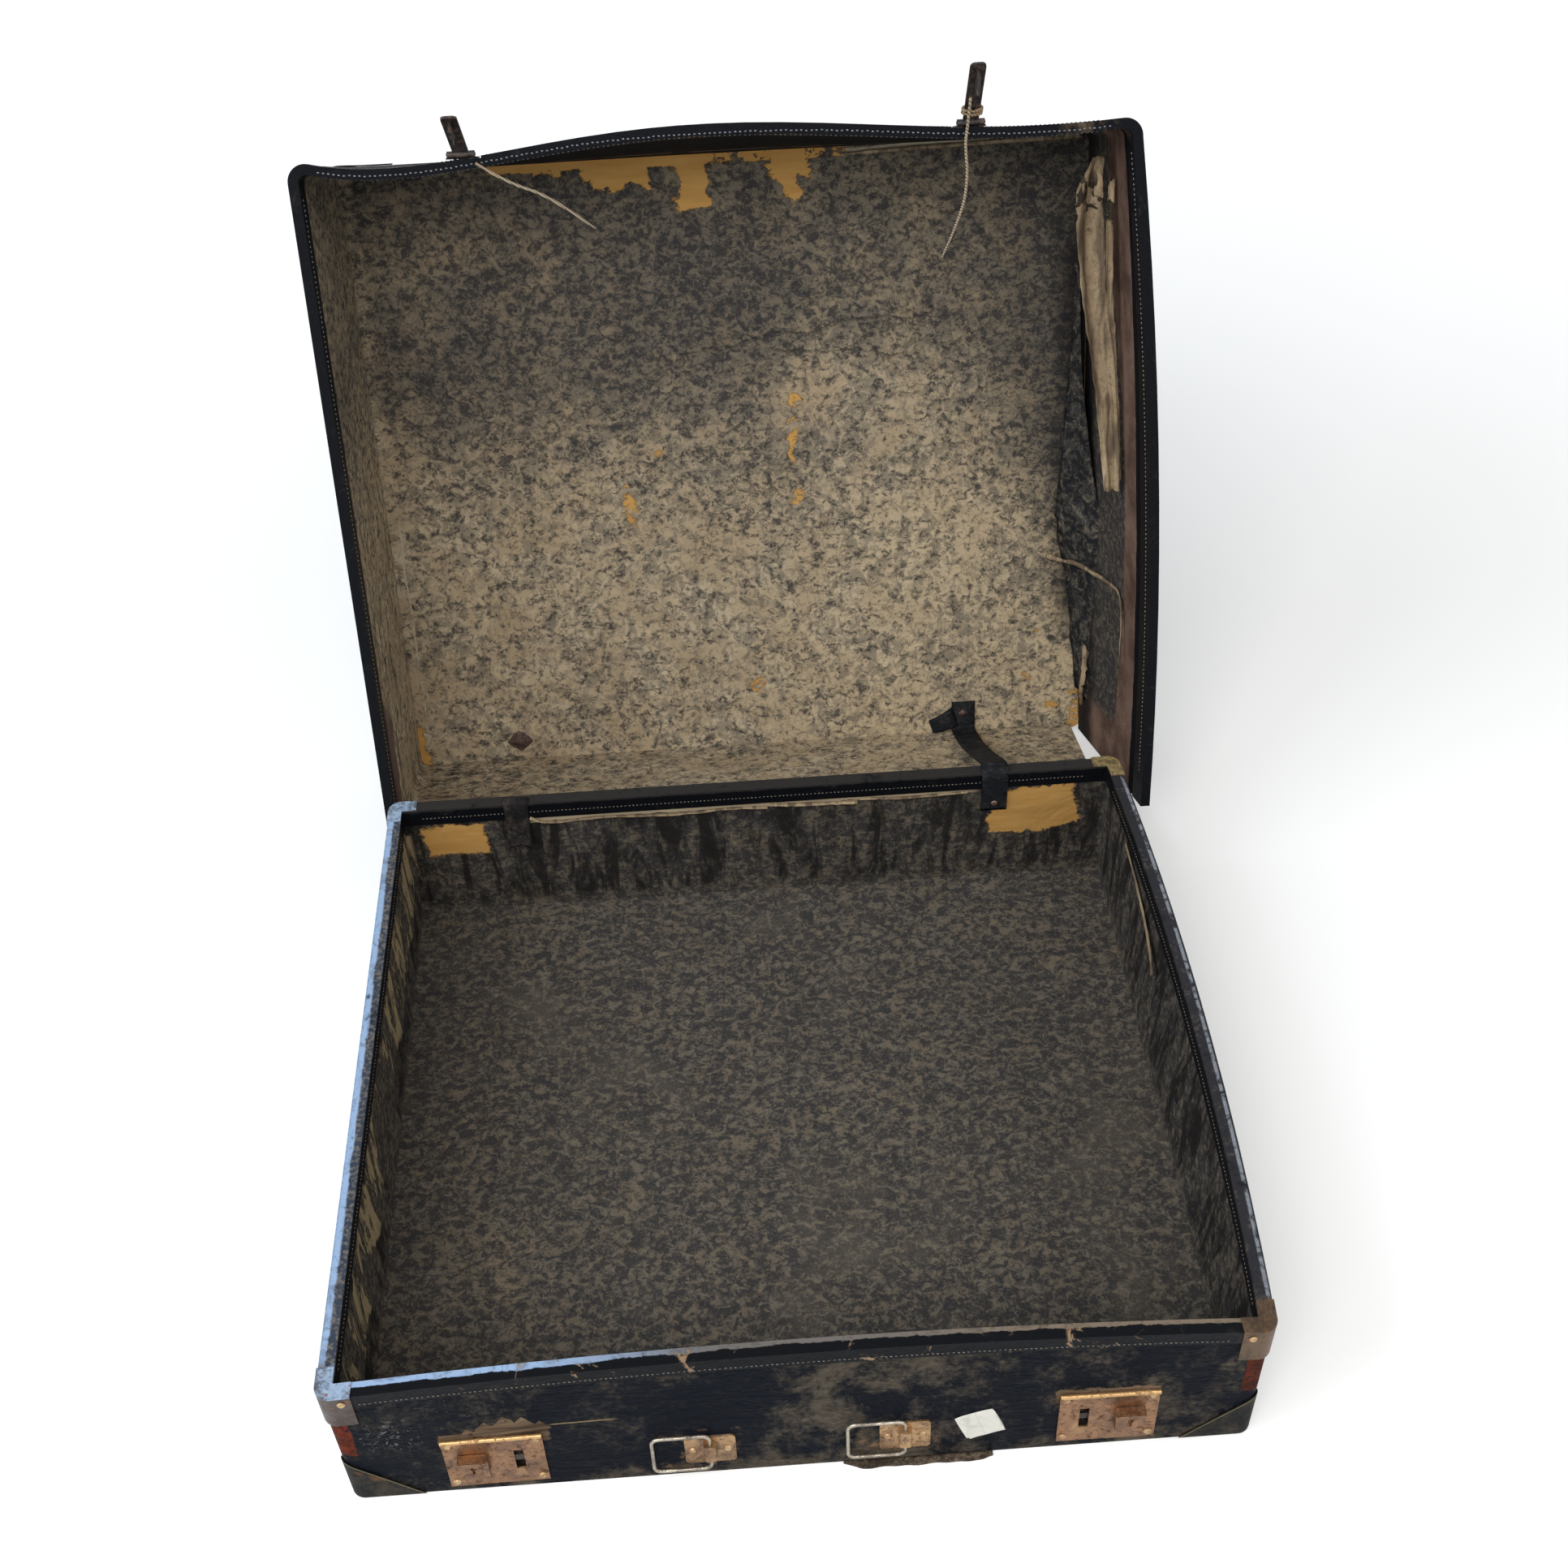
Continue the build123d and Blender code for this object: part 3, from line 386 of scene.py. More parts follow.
def panel_lining():
    """Lining of the lid's panel and of its front, back and left walls."""
    p = Lining("lining_panel")
    x, y, z, ragged = p.x, p.y, p.z, p.ragged
    dark = (-y - x * 0.10).edge(-0.11, 0.17) * 1.3 + x.edge(0.19, 0.30) * 1.1 * y.within(-0.24, 0.13, 0.05)
    away = length_of(x + 0.008, y + 0.13)
    dark = dark + ~away.edge(0.0, 0.10) * 0.55 + (p.broad - 0.5) * 1.5 + (p.patch - 0.5) * 1.9
    dark = dark - x.within(0.05, 0.2, 0.05) * y.within(-0.08, -0.03, 0.03) * 0.5
    dark = dark - x.edge(-0.275, -0.285) * 0.5
    colour = p.printed(dark, warm=x.edge(-0.05, 0.22) * y.edge(-0.08, 0.12) * 0.5)

    # Pale torn edges, painted shade in the creases and painted shade along the right side of the panel
    flat = z.edge(0.228, 0.2305)
    pale = (y + x * 0.03 + ragged * 0.2).within(-0.2375, -0.2345, 0.0005) * x.within(0.098, 0.285, 0.004)
    left_edge = (x + ragged * 0.2).within(-0.281, -0.2795, 0.0004) * y.within(0.02, 0.23, 0.02)
    pale = pale | left_edge * p.patch.edge(0.40, 0.5)
    colour = p.mix(pale * flat, colour, (0.40, 0.34, 0.25))
    # Painted shade: near-black lines along the panel's crease and fold
    crease = (y + ragged * 1.2 + x * 0.10).within(-0.0965, -0.0945, 0.0012) * x.within(-0.05, 0.19, 0.02)
    fold = (y + ragged * 0.9 - x * 0.07).within(-0.0915, -0.090, 0.001) * x.within(0.03, 0.15, 0.02)
    colour = p.mix((crease | fold) * 0.65, colour, (0.02, 0.019, 0.018))
    # Painted shade: the panel darkens towards its right crease
    shade = (x + ragged * 0.5).edge(0.255, 0.284) * y.within(-0.17, 0.17, 0.03)
    colour = p.mix(shade * 0.88, colour, (0.014, 0.013, 0.014))

    # Streaks and a brown stain on the left wall; painted shadow, nearly black, on the front wall
    left_wall = ~flat * x.within(-0.4, -0.2, 0.01)
    streak = p.noise(70.0, 4.0, 0.7, 0.4, p.stretched(p.shut, 1.0, 0.25, 2.4))
    brown = left_wall * (z + ragged).within(0.088, 0.118, 0.002) * y.edge(0.13, 0.17)
    colour = p.mix(brown, colour, (0.135, 0.092, 0.078))
    streak = left_wall * streak.edge(0.50, 0.64) * y.edge(-0.1, 0.1)
    colour = p.mix(streak * 0.7, colour, (0.022, 0.019, 0.018))
    # Painted shadow: the front wall's lining is made nearly black
    front_wall = ~flat * (-y).edge(0.232, 0.236) * x.within(-0.278, 0.29, 0.002)
    colour = p.mix(front_wall * 0.95, colour, (0.007, 0.007, 0.008))
    line = front_wall * (z + ragged * 0.3).within(0.206, 0.209, 0.0008) * p.patch.edge(0.40, 0.5)
    colour = p.mix(line * 0.8, colour, (0.26, 0.20, 0.13))
    return p.done(colour, panel_bare(p) * flat)


def right_lining():
    """Lining of the burst right wall: a brown band along the rim, painted shade towards the panel."""
    p = Lining("lining_right")
    y, z, ragged = p.y, p.z, p.ragged
    colour = p.printed((p.broad - 0.5) * 2.0 + 2.3)
    depth = z + ragged * 0.5 - y.edge(0.10, 0.25) * 0.014 - (-y).edge(-0.02, 0.20) * 0.030
    brown = depth.within(0.03, 0.129, 0.0015) | (y + ragged).edge(0.215, 0.228)
    stain = p.mix(p.noise(33.0, 4.0, 0.6).edge(0.3, 0.7), (0.070, 0.042, 0.032), (0.170, 0.110, 0.084))
    colour = p.mix(brown, colour, stain)
    colour = p.mix(~(z + ragged * 0.2).edge(0.1025, 0.1035), colour, (0.0055, 0.0055, 0.007))
    # Painted shade: near-black towards the panel
    colour = p.mix((z + ragged * 1.5).edge(0.185, 0.215) * 0.9, colour, (0.010, 0.010, 0.011))
    return p.done(colour, p.noise(60.0, 3.0, 0.6).edge(0.68, 0.70) * y.edge(0.19, 0.2))


def loose_lining():
    """The lining that hangs loose along the lid's right crease, with black blots."""
    p = Lining("lining_torn")
    blots = p.noise(85.0, 4.0, 0.7, 1.2)
    colour = p.printed((p.broad - 0.5) * 2.0 + 2.3)
    colour = p.mix(blots.edge(0.46, 0.56) * 0.85, colour, (0.010, 0.011, 0.013))
    return p.done(p.mix(blots.edge(0.40, 0.30) * 0.6, colour, (0.14, 0.135, 0.125)))


def base_lining():
    """Lining of the base: a worn floor, streaked walls and two bare patches on the back wall."""
    p = Lining("lining_base", on_lid=False)
    x, y, z, ragged = p.x, p.y, p.z, p.ragged
    colour = p.printed((p.broad - 0.5) * 2.6 + (p.patch - 0.5) * 1.8 + 1.9)
    floor_near = z.edge(0.022, 0.008)
    streak = p.noise(60.0, 5.0, 0.72, 0.9, p.stretched(p.shut, 1.0, 1.0, 0.22))
    colour = p.mix(~floor_near * streak.edge(0.42, 0.60) * 0.9, colour, (0.012, 0.011, 0.011))
    colour = p.mix(~floor_near * streak.edge(0.35, 0.26) * 0.75, colour, (0.30, 0.225, 0.13))
    back = y.edge(0.235, 0.24)
    top = (z + ragged * 0.25).within(0.1015, 0.1065, 0.0006)
    colour = p.mix(top * back * x.within(-0.18, 0.17, 0.01), colour, (0.42, 0.34, 0.23))
    left = x.edge(-0.272, -0.276) * (z + ragged * 2.0).within(0.045, 0.10, 0.003) * streak.edge(0.5, 0.56)
    colour = p.mix(left * 0.8, colour, (0.36, 0.28, 0.16))
    worn = (p.broad * 0.6 + p.patch * 0.4).edge(0.5, 0.66) * floor_near
    colour = p.mix(worn * 0.16, colour, (0.21, 0.17, 0.12))
    ragged_x, ragged_z = x + ragged, z + ragged
    left_patch = ragged_x.within(-0.263, -0.214, 0.0015) * ragged_z.within(0.070, 0.104, 0.0015)
    right_patch = ragged_x.within(0.187, 0.252, 0.0015) * ragged_z.within(0.056, 0.106, 0.0015)
    return p.done(colour, (left_patch | right_patch) * back)


def rim_leather(name, on_lid):
    """Binding round a rim: black and glossy, rubbed pale on top of the base's rim, with painted sky
    reflections on its left part and a painted highlight on its right outer edge.
    """
    p = Paint(name, roughness=0.4, specular=0.06, on_lid=on_lid)
    x, y, z = p.axes()
    fine = p.noise(330.0, 4.0, 0.65)
    wear = p.noise(48.0, 5.0, 0.7, 0.8)
    along = p.noise(11.0, 3.0, 0.6)
    worn = (wear * 0.7 + fine * 0.3).edge(0.55, 0.75)
    colour = p.mix(worn * 0.45, (0.0042, 0.0047, 0.0064), (0.055, 0.048, 0.042))
    if on_lid:
        rub = ~z.edge(0.0713, 0.0722) * (wear * 0.7 + along * 0.5).edge(0.70, 0.92)
        colour = p.mix(rub * 0.5, colour, (0.10, 0.095, 0.095))
        corner = x.edge(0.2, 0.28) * (-y).edge(0.25, 0.262)
        colour = p.mix(corner * wear.edge(0.5, 0.7) * 0.5, colour, (0.2, 0.14, 0.09))
        return p.finish(colour, fine * 0.25 + 0.3, bumps=[(fine, 0.00022), (wear, 0.0007)])

    # Coordinates with the bow of the front and right walls taken out
    straight_y = y - (1.0 - (x / (BASE_HALF_WIDTH * MM)) ** 2.0) * (FRONT_BOW * MM)
    straight_x = x - (1.0 - (y / (BASE_HALF_DEPTH * MM)) ** 2.0) * (RIGHT_BOW * MM)
    front = (-y).edge(0.228, 0.236)
    right = x.edge(0.262, 0.27) * ~front
    # Painted blue sky reflection on the left part of the rim's top, mixed into the rubbed colour
    blue = x.edge(-0.04, -0.17) * front | x.edge(-0.26, -0.27) * ~front
    pale = p.mix(x.edge(0.02, 0.16) * front, (0.15, 0.135, 0.125), (0.20, 0.155, 0.115))
    pale = p.mix(blue, pale, (0.30, 0.42, 0.62))
    pale = p.mix(right, pale, (0.026, 0.026, 0.030))
    # Painted highlight along the outer edge of the right rim
    outer_edge_highlight = straight_x.within(0.2822, 0.2845, 0.0004) * right * wear.edge(0.40, 0.56)
    pale = p.mix(outer_edge_highlight, pale, (0.26, 0.28, 0.32))
    dull = (x + (wear - 0.5) * 0.004).edge(-0.2822, -0.2806) * ~front * ~right + wear.edge(0.50, 0.62) * 0.45
    speckled = p.mix(fine.edge(0.46, 0.60), (0.016, 0.017, 0.021), (0.13, 0.105, 0.078))
    pale = p.mix((dull & 1.0) * 0.92, pale, speckled)
    pale = p.mix(y.edge(0.235, 0.24), pale, (0.03, 0.028, 0.027))
    inner = (straight_y + (wear - 0.5) * 0.006 - x.edge(-0.20, 0.05) * 0.0014).edge(-0.2491, -0.2484) | ~front
    face = (z + (wear - 0.5) * 0.004).edge(0.1195, 0.1212)
    rubbed = face * inner * (wear * 0.6 + along * 0.25 + fine * 0.25).edge(0.34, 0.52)
    colour = p.mix(rubbed * 0.92, colour, pale)
    chip = (wear + along * 0.4).edge(0.80, 0.86) * x.within(-0.2, 0.2, 0.05)
    colour = p.mix(chip * front, colour, (0.26, 0.175, 0.105))
    # Painted blue sky reflection on the rim's left outer side
    left_side_reflection = x.edge(-0.2845, -0.2855)
    colour = p.mix(left_side_reflection * fine.edge(0.4, 0.6) * 0.55, colour, (0.10, 0.15, 0.24))
    return p.finish(colour, fine * 0.25 + 0.30, bumps=[(fine, 0.00022), (wear, 0.0009), (rubbed, -0.00015)])


def guard_leather(name, on_lid):
    """Leather of the corner guards, with two rows of thread along the base's guards."""
    p = Paint(name, roughness=0.6, on_lid=on_lid)
    x, y, z = p.axes()
    fine = p.noise(330.0, 4.0, 0.7)
    worn = p.noise(45.0, 5.0, 0.7, 0.7)
    if on_lid:
        seam = worn.edge(0.70, 0.72)
    else:
        reach = BASE_HALF_WIDTH * MM - abs(x) + (BASE_HALF_DEPTH * MM - abs(y)) + z
        seam = reach.within(0.0478, 0.0490, 0.0004) | reach.within(0.0443, 0.0454, 0.0004)
    colour = p.mix((worn * 0.7 + fine * 0.3).edge(0.42, 0.68), (0.012, 0.013, 0.014), (0.058, 0.049, 0.036))
    colour = p.mix(seam * (fine * 0.8 + 0.35), colour, (0.24, 0.20, 0.10))
    rust = p.noise(60.0, 3.0, 0.6).edge(0.62, 0.7)
    colour = p.mix(rust * 0.5, colour, (0.16, 0.075, 0.035))
    return p.finish(colour, fine * 0.2 + 0.5, bumps=[(fine, 0.0003), (seam, 0.0004), (worn, 0.0008)])


def old_metal(name, low, high, stain, roughness=0.5, metallic=0.85, scale=60.0, share=0.6):
    """Tarnished metal: two tones, a spotted stain in the hollows and small dents."""
    p = Paint(name, specular=0.3)
    broad = p.noise(scale * 0.5, 4.0, 0.6, 0.3)
    fine = p.noise(scale * 7.0, 4.0, 0.7)
    spots = (p.noise(scale * 2.2, 4.0, 0.72, 0.5) * 0.7 + fine * 0.3).edge(0.47, 0.62) * share
    colour = p.mix(spots, p.mix(broad.edge(0.36, 0.62), low, high), stain)
    return p.finish(colour, spots * 0.35 + roughness * 0.8, ~(spots * 0.9) * metallic,
                    [(fine, 0.00018), (broad, 0.0006), (spots, 0.0002)])


def cap_metal():
    """Painted metal of the rim's corner caps: brown in front, blue and yellow behind, rusty, with a painted
    blue sky reflection on top of the left caps.
    """
    p = Paint("cap_metal", metallic=0.45, specular=0.2)
    x, y, z = p.axes()
    broad = p.noise(45.0, 4.0, 0.65)
    fine = p.noise(420.0, 4.0, 0.7)
    side = x.edge(-0.1, 0.1)
    tone = p.mix(side, (0.085, 0.066, 0.060), (0.115, 0.072, 0.042))
    tone = p.mix(y.edge(-0.05, 0.05), tone, p.mix(side, (0.24, 0.29, 0.37), (0.36, 0.27, 0.12)))
    # Painted blue sky reflection on the tops of the left caps
    tone = p.mix(z.edge(0.1215, 0.1222) * x.edge(0.0, -0.1) * 0.75, tone, (0.38, 0.52, 0.72))
    tone = p.mix((broad * 0.6 + fine * 0.4).edge(0.44, 0.62) * 0.85, tone, (0.045, 0.030, 0.022))
    tone = p.mix(p.noise(120.0, 3.0, 0.6).edge(0.6, 0.67) * 0.8, tone, (0.20, 0.075, 0.022))
    return p.finish(tone, broad * 0.3 + 0.32, bumps=[(fine, 0.0002), (broad, 0.0008)])


def lock_brass():
    """Rusty copper-brass with a painted sheen on the rolled lip at its top, and dark pits."""
    p = Paint("lock_brass")
    x, _, z = p.axes()
    broad = p.noise(70.0, 4.0, 0.65, 0.4)
    fine = p.noise(480.0, 4.0, 0.72)
    pits = (p.noise(210.0, 4.0, 0.72, 0.6) * 0.65 + fine * 0.35).edge(0.5, 0.63)
    colour = p.mix(broad.edge(0.35, 0.65), (0.15, 0.083, 0.050), (0.29, 0.155, 0.080))
    colour = p.mix(pits * 0.8, colour, (0.055, 0.028, 0.018))
    # Painted sheen: the top lip is made lighter
    colour = p.mix(z.edge(0.0566, 0.0578) * ~(pits * 0.6), colour, (0.55, 0.34, 0.155))
    bright = (abs(x) + (broad - 0.5) * 0.02).within(0.171, 0.178, 0.002) * z.within(0.014, 0.028, 0.003)
    colour = p.mix(bright * 0.25, colour, (0.62, 0.40, 0.18))
    bumps = [(fine, 0.0003), (pits, -0.0003), (broad, 0.0006)]
    return p.finish(colour, pits * 0.35 + 0.33, ~(pits * 0.8) * 0.8, bumps)


def worn_strap(name, low, high):
    """Old strap leather with fine cracks."""
    p = Paint(name)
    fine = p.noise(380.0, 4.0, 0.7)
    crack = p.cells(230.0, "DISTANCE_TO_EDGE")
    worn = p.noise(55.0, 5.0, 0.7, 0.5)
    colour = p.mix((worn * 0.7 + fine * 0.3).edge(0.44, 0.68), low, high)
    colour = p.mix(~crack.edge(0.0, 0.07) * 0.5, colour, (0.012, 0.011, 0.011))
    bumps = [(fine, 0.0002), (crack.edge(0.0, 0.1), 0.00025), (worn, 0.0006)]
    return p.finish(colour, fine * 0.25 + 0.45, bumps=bumps)


def fibre(name, low, high):
    """String or thread: twisted strands, dusty."""
    p = Paint(name)
    strands = p.node("TexWave", {"bands_direction": "DIAGONAL"}, Vector=p.place, Scale=250.0, Distortion=1.5,
                     Detail=2.0, Detail_Scale=2.0)
    fine = p.noise(900.0, 3.0, 0.7)
    colour = p.mix((strands * 0.6 + fine * 0.4).edge(0.3, 0.7), low, high)
    return p.finish(colour, 0.85, bumps=[(strands, 0.0003), (fine, 0.0001)])


def bare_board():
    """Plain board behind the cloth and the lining."""
    p = Paint("board")
    grain = p.noise(55.0, 5.0, 0.65, 0.6, p.stretched(p.place, 0.25, 2.0, 2.0))
    fine = p.noise(500.0, 3.0, 0.7)
    colour = p.mix(grain.edge(0.35, 0.65), (0.30, 0.15, 0.045), (0.52, 0.31, 0.115))
    colour = p.mix(p.noise(18.0, 4.0, 0.6).edge(0.5, 0.75) * 0.6, colour, (0.11, 0.065, 0.035))
    return p.finish(colour, fine * 0.15 + 0.75, bumps=[(grain, 0.0004), (fine, 0.0002)])


def torn_paper():
    """Peeled lining paper: tan face with streaks of the print, darker patches painted as shade in folds, and
    holes at its top.
    """
    p = Paint("torn_paper", on_lid=True)
    _, y, z = p.axes()
    broad = p.noise(20.0, 4.0, 0.65)
    fine = p.noise(500.0, 3.0, 0.7)
    streak = p.noise(60.0, 4.0, 0.6, 0.4, p.stretched(p.place, 2.5, 0.5, 0.35))
    colour = p.mix(broad.edge(0.35, 0.7), (0.23, 0.168, 0.105), (0.41, 0.31, 0.195))
    colour = p.mix(streak.edge(0.44, 0.62) * 0.75, colour, (0.085, 0.062, 0.045))
    # Painted shade: random darker patches standing for the shade in folds
    colour = p.mix(p.noise(160.0, 5.0, 0.72, 2.0).edge(0.52, 0.62) * 0.42, colour, (0.05, 0.045, 0.04))
    holes = p.noise(62.0, 3.0, 0.6, 1.4).edge(0.53, 0.57)
    holes = holes * y.within(-0.226, -0.186, 0.008) * z.edge(0.10, 0.11)
    colour = p.mix(holes * 0.9, colour, (0.012, 0.011, 0.011))
    return p.finish(colour, 0.9, bumps=[(fine, 0.0002), (streak, 0.0008), (broad, 0.0015), (holes, -0.0010)])


def label_paper():
    """Off-white sticker paper, dirty, with a painted shade line where it is creased once."""
    p = Paint("label_paper")
    x, _, z = p.axes()
    fine = p.noise(300.0, 4.0, 0.7)
    dirt = p.noise(90.0, 4.0, 0.65, 0.4)
    colour = p.mix(dirt.edge(0.45, 0.72) * 0.5, (0.66, 0.65, 0.60), (0.40, 0.36, 0.29))
    # Painted shade along the crease line
    fold = abs(x - 0.111 + (z - 0.033) * 0.3).edge(0.0006, 0.0) * 0.35
    colour = p.mix(fold, colour, (0.34, 0.31, 0.26))
    return p.finish(colour, 0.75, bumps=[(fine, 0.00012), (dirt, 0.0003)])


paint_nodes(leathercloth("leathercloth"), "base_side_covering", "base_underside_covering")
paint_nodes(leathercloth("lid_leathercloth", True), "lid_covering")
paint_nodes(panel_lining(), "lid_lining")
paint_nodes(right_lining(), "lid_right_lining")
paint_nodes(base_lining(), "base_lining")
paint_nodes(rim_leather("rim_base", False), "base_rim_binding")
paint_nodes(rim_leather("rim_lid", True), "lid_rim_binding")
paint_nodes(guard_leather("guard_base", False), "base_corner_guards")
paint_nodes(guard_leather("guard_lid", True), "lid_corner_guards")
paint_nodes(cap_metal(), "base_rim_caps")
paint_nodes(lock_brass(), "lock_plate_left", "lock_plate_right", "lock_button_left", "lock_button_right")
paint_nodes(old_metal("inner_steel", (0.035, 0.030, 0.028), (0.085, 0.070, 0.060), (0.045, 0.022, 0.014)),
            "lock_case_left", "lock_case_right", "lock_bolt_left", "lock_bolt_right")
paint_nodes(old_metal("rivet_brass", (0.36, 0.22, 0.11), (0.52, 0.36, 0.19), (0.10, 0.055, 0.03),
                      roughness=0.45, metallic=0.8, scale=120.0),
            "lock_rivets", "handle_rivets", "rim_cap_rivets")
paint_nodes(old_metal("dull_rivet", (0.14, 0.11, 0.085), (0.24, 0.17, 0.12), (0.07, 0.035, 0.02),
                      roughness=0.5, metallic=0.7, scale=120.0),
            "hinge_base_rivets", "hinge_lid_rivets", "hasp_rivets", "stay_base_rivets")
paint_nodes(old_metal("tab_brass", (0.20, 0.115, 0.060), (0.42, 0.26, 0.13), (0.07, 0.036, 0.022),
                      roughness=0.42, metallic=0.8, scale=90.0, share=0.75),
            "handle_plate_left", "handle_plate_right")
paint_nodes(old_metal("wire_steel", (0.23, 0.20, 0.165), (0.43, 0.385, 0.315), (0.09, 0.06, 0.04),
                      roughness=0.38, scale=110.0),
            "handle_loop_left", "handle_loop_right")
paint_nodes(old_metal("black_iron", (0.016, 0.016, 0.018), (0.040, 0.036, 0.036), (0.13, 0.07, 0.045),
                      roughness=0.42, metallic=0.4, scale=110.0),
            "hinge_base_leaves", "hinge_lid_leaves", "hinge_pins", "hasp_pins", "hasp_plate_left",
            "hasp_plate_right", "hasp_left", "hasp_right")
paint_nodes(bare_board(), "base_floor", "base_front_wall", "base_back_wall", "base_left_wall",
            "base_right_wall", "lid_panel", "lid_front_wall", "lid_back_wall", "lid_left_wall",
            "lid_right_wall")

washer_iron = old_metal("washer_iron", (0.050, 0.030, 0.026), (0.105, 0.064, 0.055), (0.014, 0.009, 0.008),
                        roughness=0.6, metallic=0.3, scale=90.0, share=0.85)
spring_steel = old_metal("spring_steel", (0.10, 0.09, 0.085), (0.24, 0.22, 0.20), (0.07, 0.035, 0.02),
                         roughness=0.4, scale=150.0)
strap_leather = worn_strap("strap_leather", (0.012, 0.013, 0.016), (0.050, 0.046, 0.046))
torn_leather = worn_strap("torn_leather", (0.014, 0.013, 0.014), (0.070, 0.055, 0.045))
torn_edge_dark = worn_strap("torn_edge_dark", (0.018, 0.017, 0.017), (0.17, 0.135, 0.10))
peeled_hem = worn_strap("peeled_hem", (0.05, 0.038, 0.028), (0.24, 0.18, 0.125))
string_tan = fibre("string_tan", (0.15, 0.115, 0.078), (0.40, 0.325, 0.235))
string_brown = fibre("string_brown", (0.13, 0.085, 0.05), (0.36, 0.26, 0.17))
thread_pale = fibre("thread_pale", (0.11, 0.115, 0.135), (0.30, 0.31, 0.345))
thread_dull = fibre("thread_dull", (0.06, 0.055, 0.05), (0.20, 0.185, 0.16))
peel = torn_paper()


def from_bmesh(name, mesh, material, body, smooth=True):
    """Piece made from the bmesh, on a body."""
    data = bpy.data.meshes.new(name)
    bmesh.ops.recalc_face_normals(mesh, faces=mesh.faces)
    mesh.to_mesh(data)
    mesh.free()
    data.materials.append(material)
    if smooth:
        data.shade_smooth()
    made = link(name, data)
    if body:
        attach(made, body)
    return made


def lay_grid(mesh, rows, closed=False):
    """Grid of faces whose points are given row by row; closed joins each row's last point to its first."""
    across, along = len(rows[0]) - (0 if closed else 1), len(rows) - 1
    grid = bmesh.ops.create_grid(mesh, x_segments=across, y_segments=along, size=0.5)["verts"]
    for vertex in grid:
        column, row = (vertex.co.x + 0.5) * across, (vertex.co.y + 0.5) * along
        vertex.co = rows[round(row)][round(column) % len(rows[0])]
    return grid


def sheet_of(name, rows, thickness, material, body):
    """Thin closed piece from a grid of points, given row by row; thickness in millimetres."""
    mesh = bmesh.new()
    lay_grid(mesh, rows)
    bmesh.ops.solidify(mesh, geom=mesh.verts[:] + mesh.edges[:] + mesh.faces[:], thickness=thickness * MM)
    return from_bmesh(name, mesh, material, body)


def skin_over(mesh, rings):
    """Closed skin over rings of points, with both ends filled."""
    grid = lay_grid(mesh, rings, closed=True)
    bmesh.ops.remove_doubles(mesh, verts=grid, dist=1e-7)
    bmesh.ops.holes_fill(mesh, edges=[edge for edge in mesh.edges if edge.is_boundary], sides=0)


def smooth_line(points, steps):
    """Points of a smooth Catmull-Rom line through the given points."""
    padded = [points[0] * 2 - points[1], *points, points[-1] * 2 - points[-2]]
    line = []
    for index in range(1, len(padded) - 2):
        a, b, c, d = padded[index - 1:index + 3]
        for step in range(steps):
            t = step / steps
            bend = (c - a) * t + (2 * a - 5 * b + 4 * c - d) * t * t + (3 * b - a - 3 * c + d) * t**3
            line.append(0.5 * (2 * b + bend))
    return line + [points[-1]]


def nurbs_line(name, route):
    """The points of the smooth line that a cord follows, read from its NURBS route in millimetres."""
    curve = bpy.data.curves.new(name, "CURVE")
    curve.dimensions = "3D"
    curve.resolution_u = 16
    spline = curve.splines.new("NURBS")
    spline.points.add(len(route) - 1)
    for point, where in zip(spline.points, route):
        point.co = (*placed(*where), 1)
    spline.order_u = 3
    spline.use_endpoint_u = True
    carrier = bpy.data.objects.new(name, curve)
    line = bpy.data.meshes.new_from_object(carrier)
    points = [vertex.co.copy() for vertex in line.vertices]
    bpy.data.objects.remove(carrier)
    bpy.data.meshes.remove(line)
    return points


def tube(mesh, points, radius_at, sides, twist=0.0):
    """Closed tube along the points; radius_at gives the radius for the share of the way and the angle."""
    rings = []
    side = Vector((1, 0.3, 0.2))
    for index, point in enumerate(points):
        ahead = (points[min(index + 1, len(points) - 1)] - points[max(index - 1, 0)]).normalized()
        side = (side - ahead * side.dot(ahead)).normalized()
        other = ahead.cross(side)
        share = index / (len(points) - 1)
        ring = []
        for corner in range(sides):
            angle = 2 * math.pi * corner / sides
            way = side * math.cos(angle) + other * math.sin(angle)
            ring.append(point + way * radius_at(share, angle + twist * index))
        rings.append(ring)
    skin_over(mesh, rings)


STRING_DIAMETER = 2.2


def string(name, node, route, taper):
    """Stiff tan string on its CAD route."""
    points = nurbs_line(name + "_route", route)
    mesh = bmesh.new()

    def radius(share, angle):
        strands = 0.93 + 0.07 * math.cos(3 * angle)
        end = 1 - taper * max(0.0, (share - 0.82) / 0.18) ** 1.5
        return STRING_DIAMETER / 2 * MM * strands * end

    tube(mesh, points, radius, 15, 0.55)
    made = from_bmesh(name, mesh, string_tan, "lid")
    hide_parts(node)
    opened(0, -259, 80)
    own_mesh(made)


string("string_on_left_hasp", "string_left",
       [(-166.0, 416.0, 565.2), (-147.0, 411.1, 552.6), (-116.0, 408.4, 541.4), (-88.0, 406.9, 516.2)], 0.45)
string("string_on_right_hasp", "string_right",
       [(173.0, 408.8, 594.6), (173.0, 416.9, 572.0), (171.0, 413.7, 560.5), (174.0, 412.9, 535.4),
        (170.0, 412.7, 507.3), (157.0, 413.5, 475.3)], 0.35)


def surface(node):
    mesh = bmesh.new()
    mesh.from_mesh(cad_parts[node].data)
    found = BVHTree.FromBMesh(mesh)
    mesh.free()
    return found


# Stitches of the rims: size of one, in millimetres, and how far a ray looks for the binding
STITCH_LENGTH, STITCH_HALF_WIDTH, STITCH_HEIGHT, STITCH_LIFT = 1.9, 0.55, 0.42, 0.05
RAY_REACH = 0.12
noise.seed_set(7)


